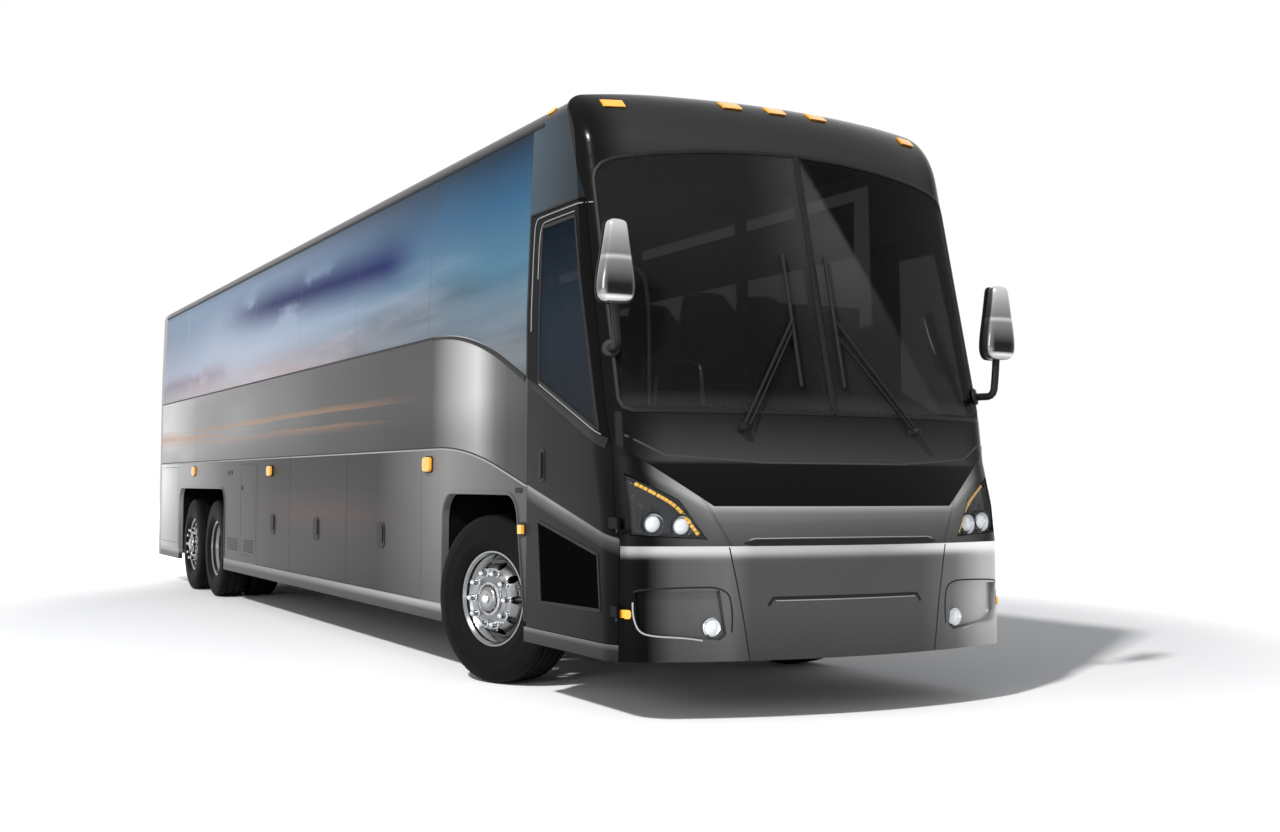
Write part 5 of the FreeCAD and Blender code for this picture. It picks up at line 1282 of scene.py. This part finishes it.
def add_door_details():
    """Seals round the door's panes and the driver's window, light frame lines, a painted highlight under the
    belt and the handle.
    """
    seal, lines, handle, driver_seal = forms(4)
    upper = [over_belt(5.640, 0.040), over_belt(6.422, 0.040), (6.087, 2.750), (5.640, 2.750)]
    for outline in (upper, LOWER_PANE):
        side_strip(seal, -1.0, outline + outline[:1], 0.010, 0.005, 0.05)
    seal.made("door_seals", DARK, "entry_door")
    for half, line in FRAME_LINES.items():
        side_strip(lines, -1.0, smooth(line, 1), half, 0.004, 0.05)
    # A painted highlight along the foot of the belt's black band.
    side_strip(lines, -1.0, [over_belt(5.640, 0.022), over_belt(6.440, 0.022)], 0.0028, 0.005, 0.05)
    lines.made("door_frame_lines", PALE_PAINT_AND_HIGHLIGHT, "entry_door")
    spot, normal = on_side(-1.0, 5.684, 1.360, beside=-0.064)
    pad(handle, spot, normal, 0.050, 0.096, 0.004)
    pad(handle, spot + (0.0, -0.004, 0.0), normal, 0.022, 0.074, 0.011)
    handle.made("door_handle", DARK, "entry_door", bevel=0.001)
    side_strip(driver_seal, 1.0, upper + upper[:1], 0.008, 0.004, 0.05)
    driver_seal.made("driver_window_seal", DARK)


# Rear and front edges of the flaps, and of the slats in them
FLAPS = ((-2.02, -1.35), (-6.50, -5.42))
GRILLES = ((-2.60, -2.16), (-1.86, -1.48))
FLAP_LOW = 0.52
FLAP_HIGH = 1.44
FLAP_LATCHES = ((-2.60, 1.36), (-2.46, 1.36), (-1.96, 1.20))


def add_hatches():
    """Small fixed flaps in the sides, drawn as raised edges, with their grilles and latches."""
    edges, slats = forms(2)
    for sign in SIDES.values():
        for rear, front in FLAPS:
            outline = [(rear, FLAP_LOW), (front, FLAP_LOW), (front, FLAP_HIGH), (rear, FLAP_HIGH)]
            side_strip(edges, sign, outline + outline[:1], 0.0028, 0.0008, 0.2)
        for number in range(6):
            z = 0.560 + number * 0.022
            for rear, front in GRILLES:
                side_strip(slats, sign, [(rear, z), (front, z)], 0.0055, 0.003, 0.2)
        for x, z in FLAP_LATCHES:
            pad(slats, *on_side(sign, x, z), 0.030, 0.022, 0.003)
        side_strip(slats, sign, [(5.30, 1.215), (5.40, 1.215)], 0.016, 0.004, 0.02)
    edges.made("flap_edges", DARK)
    slats.made("side_grilles", DARK)


SIDE_MARKERS = ((3.744, 1.385), (-4.424, 1.385))
MARKER_HALF = (0.072, 0.050)
DOOR_MARKER_HALF = (0.036, 0.034)


def add_markers():
    """Amber lenses on dark bases along the sides, on the cant rail and on the bumper's corners."""
    bases, lenses = forms(2)
    for side, sign in SIDES.items():
        for x, z in SIDE_MARKERS:
            spot, normal = on_side(sign, x, z, beside=0.092)
            pad(bases, spot, normal, *[half + 0.008 for half in MARKER_HALF], 0.008)
            pad(lenses, spot, normal, *MARKER_HALF, 0.030)
        spot, normal = on_side(sign, 5.420, 0.985, beside=0.056)
        pad(bases, spot, normal, *[half + 0.008 for half in DOOR_MARKER_HALF], 0.008)
        pad(lenses, *on_side(sign, 5.640, 3.440), 0.050, 0.022, 0.012)
        pad(lenses, *hit((8.24, 2.75 * sign, 0.577), (-1.0, -0.95 * sign, 0.0)), 0.038, 0.024, 0.010)
        spot, normal = on_side(sign, -0.767, 1.367)
        base, lens = forms(2)
        pad(base, spot, normal, 0.078, 0.056, 0.008)
        pad(lens, spot, normal, 0.068, 0.046, 0.030)
        base.made("bay_marker_base_" + side, DARK, "bay_door_rear_" + side, bevel=0.002)
        lens.made("bay_marker_lens_" + side, AMBER, "bay_door_rear_" + side, bevel=0.006)
    bases.made("marker_bases", DARK, bevel=0.002)
    lenses.made("marker_lenses", AMBER, bevel=0.006)


# Lines on the front as (y, z); the seam, the lip and the brow are mirrored for the right side
BUMPER_SEAM = [(0.607, 0.335), (0.650, 0.62), (0.712, 0.925)]
BUMPER_RECESS = [(-0.50, 0.615), (-0.47, 0.655), (0.47, 0.655), (0.50, 0.615)]
SLOT_EDGE = [(-0.60, 0.962), (-0.56, 0.972), (0.56, 0.972), (0.60, 0.962)]
POCKET_LIP = [(1.205, 0.640), (1.204, 0.560), (1.178, 0.482), (1.100, 0.463), (0.955, 0.455), (0.860, 0.440)]
POCKET_BROW = [(1.200, 0.690), (1.190, 0.704), (0.960, 0.716), (0.724, 0.716), (0.698, 0.590), (0.704, 0.480)]


def add_bumper_trim():
    """The bumper's seams; the slot above it, a dark strip of painted shade; a recess drawn as a dark line
    with a painted highlight under it; a painted highlight along the slot's lip; and the fog lamp pockets'
    lips in painted highlight under brows of painted shade.
    """
    seams, slot, edges, lips, brows = forms(5)
    for sign in SIDES.values():
        face_strip(seams, smooth(mirrored(BUMPER_SEAM, sign), 2), 0.004, 0.0012)
        # The pockets' lips are painted highlight and their brows painted shade.
        face_strip(lips, smooth(mirrored(POCKET_LIP, sign)), 0.0045, 0.003)
        face_strip(brows, smooth(mirrored(POCKET_BROW, sign)), 0.0045, 0.002)
    # A dark line for the recess, painted shade; its painted highlight is the light line below.
    face_strip(seams, BUMPER_RECESS, 0.009, 0.002)
    # The slot is a dark strip of painted shade.
    across = np.linspace(-0.63, 0.63, 64)
    half = np.interp(across, [-0.63, -0.57, 0.57, 0.63], [0.004, 0.017, 0.017, 0.004])
    ribbon(slot, [on_face(y, 0.949 - 0.004 * (abs(y) > 0.57)) for y in across], half, 0.003)
    # Painted highlights under the recess and along the slot's lip.
    face_strip(edges, [(-0.455, 0.641), (0.455, 0.641)], 0.003, 0.003)
    face_strip(edges, smooth(SLOT_EDGE, 1), 0.003, 0.004)
    seams.made("bumper_seams", DARK)
    slot.made("nose_slot", DARK)
    edges.made("bumper_highlights", PALE_PAINT_AND_HIGHLIGHT, angle=50)
    lips.made("fog_pocket_lips", HIGHLIGHT_PAINT, angle=50)
    brows.made("fog_pocket_brows", DARK, angle=50)


TAIL_LAMP_ROWS = (0.96, 1.13, 1.30, 1.46)
AMBER_ROW = 1.30
TAIL_LAMP_RING = [(0.064, -0.002), (0.064, 0.012), (0.056, 0.014), (0.054, 0.008)]
LOUVRE_FRAME = [(-0.70, 0.86), (0.70, 0.86), (0.70, 1.56), (-0.70, 1.56), (-0.70, 0.86)]
REAR_PANEL = [
    (-0.95, 2.30), (-0.90, 2.26), (0.90, 2.26), (0.95, 2.30), (0.92, 3.05), (0.86, 3.10),
    (-0.86, 3.10), (-0.92, 3.05), (-0.95, 2.30),
]


def add_tail():
    """Round lamps in rows, louvres on the engine door, the rear panel's line and a high brake lamp."""
    rings, lenses, ambers, louvres, edge, panel, brake = forms(7)
    for sign in SIDES.values():
        for z in TAIL_LAMP_ROWS:
            spot, normal = on_tail(1.04 * sign, z, 0.026)
            lathe(rings, TAIL_LAMP_RING, spot, normal, 28)
            lathe(ambers if z == AMBER_ROW else lenses, dome(0.054, 0.008, 0.010, 5), spot, normal, 28)
    rings.made("tail_lamp_rings", CHROME)
    lenses.made("tail_lamp_lenses", RED, angle=60)
    ambers.made("tail_turn_lenses", AMBER, angle=60)
    for number in range(14):
        z = 0.92 + number * 0.045
        face_strip(louvres, [(-0.62, z), (0.62, z)], 0.015, 0.011, 0.2, on_tail)
    louvres.made("engine_louvres", DARK, "engine_door")
    face_strip(edge, LOUVRE_FRAME, 0.008, 0.005, 0.1, on_tail)
    edge.made("louvre_frame", TAIL_PAINT, "engine_door")
    face_strip(panel, smooth(REAR_PANEL, 1), 0.010, 0.005, 0.08, on_tail)
    panel.made("rear_panel_line", DARK)
    face_strip(brake, [(-0.22, 3.24), (0.22, 3.24)], 0.016, 0.014, 0.05, on_tail)
    brake.made("high_brake_lamp", RED)


HATCH_PLACES = (2.6, -3.4)
HATCH_HALF = (0.36, 0.34)
HATCH_RISE = 0.022
# Rings of a hatch above its foot: share of its size, and height over its rim
HATCH_LEVELS = ((0.985, -0.006), (0.94, 0.0), (0.5, 0.004), (0.05, 0.005))


def on_roof(x, y):
    """A place on the roof."""
    return hit((x, y, 5.0), (0.0, 0.0, -1.0))


def add_roof():
    """Two escape hatches and two low ribs along the roof."""
    hatch, ribs = forms(2)
    long, wide = HATCH_HALF
    corners = ((-long, -wide), (long, -wide), (long, wide), (-long, wide), (-long, -wide))
    for x in HATCH_PLACES:
        base = np.array([on_roof(x + along, across)[0] for along, across in corners])
        ring = dense(base, 0.12)[:-1]
        centre = ring.mean(0)
        levels = [ring]
        for share, rise in HATCH_LEVELS:
            level = centre + (ring - centre) * share
            level[:, 2] = base[:4].mean(0)[2] + HATCH_RISE + rise
            levels.append(level)
        hatch.ends(levels)
    hatch.made("roof_hatches", ROOF_BLACK, angle=30)
    for y in (-0.72, 0.72):
        ribbon(ribs, [on_roof(x, y) for x in np.linspace(-6.3, 5.5, 40)], 0.02, 0.010)
    ribs.made("roof_ribs", ROOF_BLACK)


# Cabin

SEAT_ROWS = 13
SEAT_PITCH = 0.838
FIRST_SEAT = 5.060
SEATS_OF_A_PAIR = (0.485, 0.925)
ARMREST_PLACES = (0.268, 0.705, 1.142)
LEG_PLACES = (0.31, 1.02)
# The driver's seat: place along the coach, floor and distance to the left
DRIVER_SEAT = (5.790, 1.070, 0.645)
SEAT_LEAN = math.radians(7.0)
CABIN_FLOOR = 1.495


def bent(value, grade):
    """A power of a value's size, with its sign kept."""
    return np.sign(value) * np.abs(value) ** grade


SEAM_DRAW = 0.012
PILLOW_RINGS = 14
PILLOW_TURNS = 28


def pillow(form, centre, half, tilt, square=4.0):
    """A crowned closed cushion: a rounded block whose outline is squarish, with a sewn seam round it.

    A point at longitude a and latitude b is half size times signed powers 2/square of their cosines
    and sines; near the equator it is drawn in for the seam.
    """
    power = 2.0 / square
    a = np.linspace(0.0, 2.0 * np.pi, PILLOW_TURNS, endpoint=False)[:, None]
    b = np.linspace(-np.pi / 2, np.pi / 2, PILLOW_RINGS)[None, :]
    draw = 1.0 - SEAM_DRAW / max(half) * 2.0 * np.exp(-((b / 0.16) ** 2))
    flat = bent(np.cos(b), 0.55)
    x = half[0] * flat * bent(np.cos(a), power) * draw
    y = half[1] * flat * bent(np.sin(a), power) * draw
    z = half[2] * bent(np.sin(b), 0.75) * np.ones_like(a)
    turned_x = x * math.cos(tilt) + z * math.sin(tilt)
    turned_z = z * math.cos(tilt) - x * math.sin(tilt)
    points = np.stack([centre[0] + turned_x, centre[1] + y, centre[2] + turned_z], -1)
    return form.grid(points, round_rows=True)


def seat_shell(form, x, y, base):
    """The thin curved shell behind a seat's back."""
    rings = []
    for height in np.linspace(0.30, 1.095, 9):
        rear = x - 0.548 - (height - 0.30) * math.tan(SEAT_LEAN)
        wide = 0.213 - 0.05 * max(0.0, (height - 0.85) / 0.25) ** 2
        across = np.linspace(-1, 1, 9)
        line = [(rear + 0.045 * abs(s) ** 3 - 0.012, y + wide * s, base + height) for s in across]
        rings.append(line + [(px + 0.016, py, pz) for px, py, pz in line[::-1]])
    form.ends(rings)


def post(form, foot, radius, sides):
    """A seat's leg, up from its foot on the floor."""
    foot = np.array(foot)
    tube(form, [foot + (0.0, 0.0, rise) for rise in (0.0, 0.16, 0.30)], radius, sides)
    return foot


def add_seats():
    """Padded cushions, backs and headrests in pairs on legs, with shells and armrests."""
    cushions, backs, heads, shells, legs = forms(5)
    pairs = [(FIRST_SEAT - SEAT_PITCH * row, sign) for row in range(SEAT_ROWS) for sign in (-1, 1)]
    places = [(x, CABIN_FLOOR, y * sign) for x, sign in pairs for y in SEATS_OF_A_PAIR]
    for x, base, y in [DRIVER_SEAT] + places:
        pillow(cushions, (x - 0.200, y, base + 0.385), (0.215, 0.210, 0.058), 0.05)
        pillow(backs, (x - 0.475, y, base + 0.735), (0.052, 0.205, 0.330), -SEAT_LEAN, 5.0)
        pillow(heads, (x - 0.560, y, base + 1.020), (0.050, 0.150, 0.088), -SEAT_LEAN, 3.0)
        seat_shell(shells, x, y, base)
    for x, sign in pairs:
        for y in LEG_PLACES:
            foot = post(legs, (x - 0.24, y * sign, CABIN_FLOOR + 0.0005), 0.026, 10)
            tube(legs, [foot + (along, 0.0, 0.012) for along in (-0.09, 0.0, 0.09)], 0.014)
        for y in ARMREST_PLACES:
            path = [(-0.52, 0.56), (-0.30, 0.60), (-0.12, 0.585), (-0.10, 0.50)]
            path = [(x + along, y * sign, CABIN_FLOOR + rise) for along, rise in path]
            tube(shells, smooth(path, 2), 0.014, 10)
    post(legs, (5.55, 0.645, 1.071), 0.06, 16)
    for form, name in ((cushions, "seat_cushions"), (backs, "seat_backs"), (heads, "seat_headrests")):
        soft = form.made(name, CLOTH, angle=60)
        if name == "seat_cushions":
            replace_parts(soft, "seats")
    shells.made("seat_shells", LINING, angle=50)
    legs.made("seat_legs", STEEL)


RACK_SECTION = [
    (1.165, 2.800), (0.700, 2.760), (0.665, 2.790), (0.655, 2.860), (0.680, 2.900), (0.760, 2.940),
    (1.165, 3.180),
]
PANEL_X = 5.335
# Side and top of each panel, rings of the hood by place and rise, and dials by place and radius
PANEL_TOPS = ((1.0, 2.45), (-1.0, 2.30))
HOOD_ARCS = ((6.215, 0.150), (6.260, 0.160), (6.330, 0.140), (6.400, 0.085))
DIALS = ((0.545, 0.055), (0.735, 0.055), (0.640, 0.030))
FLOOR_RAIL = [(5.36, -0.43, 1.50), (5.36, -0.43, 2.45), (5.36, -0.50, 2.62), (5.36, -0.80, 2.64)]
STEP_RAIL = [(5.52, 1.075), (5.52, 1.90), (5.60, 1.98), (6.05, 1.98), (6.12, 1.90), (6.12, 1.075)]
HOOD_Y = 0.640


def add_hood():
    """A thin hood over the instruments, its foot on the sloping dashboard."""
    hood = Form()
    rings = []
    for x, rise in HOOD_ARCS:
        foot = 1.440 + (x - 6.23) * 0.63 + 0.01
        turn = np.linspace(0.0, math.pi, 15)
        outer = [(x, HOOD_Y + 0.27 * math.cos(t), foot + rise * math.sin(t) ** 0.7) for t in turn]
        inner = [(px, HOOD_Y + (py - HOOD_Y) * 0.95, pz - 0.008) for px, py, pz in outer[::-1]]
        rings.append(outer + inner)
    hood.ends(rings)
    hood.made("instrument_hood", DARK)


def add_cabin():
    """Racks over the seats, panels behind the driver and the steps, grab rails and dials."""
    racks, panel, rails, dials = forms(4)
    for sign in SIDES.values():
        section = mirrored(RACK_SECTION, sign)
        racks.ends([[(x, y, z) for y, z in section] for x in np.linspace(-6.2, 5.30, 3)])
    racks.made("luggage_racks", LINING, angle=30)
    for sign, top in PANEL_TOPS:
        outline = [(0.40, 1.497), (1.19, 1.497), (1.19, top), (0.46, top)]
        slab(panel, [(PANEL_X, y, z) for y, z in mirrored(outline, sign)], (-0.02, 0.0, 0.0))
    panel.made("cabin_panels", LINING, angle=30, bevel=0.008)
    tube(rails, smooth(FLOOR_RAIL), 0.014, 10)
    tube(rails, smooth([(x, -0.475, z) for x, z in STEP_RAIL]), 0.014, 10)
    rails.made("grab_rails", STEEL)
    add_hood()
    for y, radius in DIALS:
        rim = [(radius, 0.0), (radius, 0.006), (radius * 0.93, 0.007), (radius * 0.90, 0.003), (0.0, 0.003)]
        lathe(dials, rim, (6.228, y, 1.500), (-1.0, 0.0, 0.25), 28)
    dials.made("dials", STEEL)


# The stage


def shown_rays(tree):
    """1 for the rays that show the background: to the camera, in metal and through glass."""
    rays = tree.nodes.new("ShaderNodeLightPath")
    shown = rays.outputs["Is Camera Ray"]
    for ray in ("Is Glossy Ray", "Is Transmission Ray"):
        either = tree.nodes.new("ShaderNodeMath")
        either.operation = "MAXIMUM"
        tree.links.new(shown, either.inputs[0])
        tree.links.new(rays.outputs[ray], either.inputs[1])
        shown = either.outputs[0]
    return shown


def add_floor():
    """A pale floor that keeps the coach's shadow and runs out into the white background."""
    look = Look("floor", 0.9, 0.9, emission_strength=1.0, specular=0.1)
    x, y, _ = look.axes()
    dust = look.noise(0.4, detail=2.0)
    look.wire(base_color=look.mix(dust, 0.975, 0.99))
    away = ((x - 1.0) * (x - 1.0) + (y - 1.0) * (y - 1.0) * 1.6).maths("SQRT")
    shown = Signal(look, shown_rays(look.tree))
    look.wire(emission_color=look.mix(away.above(8.4, 2.8) * shown, 0.0, 1.0))
    reach = 90.0
    mesh = bpy.data.meshes.new("floor")
    mesh.from_pydata(
        [(-reach, -reach, 0.0), (reach, -reach, 0.0), (reach, reach, 0.0), (-reach, reach, 0.0)],
        [],
        [(0, 1, 2, 3)],
    )
    mesh.materials.append(look.material)
    floor = bpy.data.objects.new("floor", mesh)
    bpy.context.scene.collection.objects.link(floor)


# Colour and strength of the light on the coach, and of the background that is shown
WORLD_LIGHTS = (((0.96, 0.98, 1.0), 0.34), ((1.0, 1.0, 1.0), 1.0))


def add_world():
    """Soft grey light, with white shown behind the coach and in its reflections."""
    world = bpy.data.worlds.new("world")
    bpy.context.scene.world = world
    world.use_nodes = True
    tree = world.node_tree
    tree.nodes.clear()
    blend = tree.nodes.new("ShaderNodeMixShader")
    tree.links.new(shown_rays(tree), blend.inputs[0])
    for number, (colour, strength) in enumerate(WORLD_LIGHTS):
        light = tree.nodes.new("ShaderNodeBackground")
        light.inputs["Color"].default_value = (*colour, 1.0)
        light.inputs["Strength"].default_value = strength
        tree.links.new(light.outputs[0], blend.inputs[number + 1])
    out = tree.nodes.new("ShaderNodeOutputWorld")
    tree.links.new(blend.outputs[0], out.inputs[0])


bpy.context.scene.view_settings.view_transform = "Standard"
add_camera()
add_world()
add_floor()
add_lamp("key", (15.9, -17.2, 19.3), (1.0, 0.0, 1.0), 1.6, 7800.0)
add_lamp("fill", (16.0, -16.0, 5.0), (5.0, 0.0, 1.5), 6.0, 700.0)
dress_nodes()
add_wheels()
add_headlamps()
add_fog_lamps()
add_screen_seals()
add_wiper_details()
add_mirror_details()
add_mouldings()
add_arch_lips()
add_bay_handles()
add_door_details()
add_hatches()
add_markers()
add_bumper_trim()
add_tail()
add_roof()
add_seats()
add_cabin()
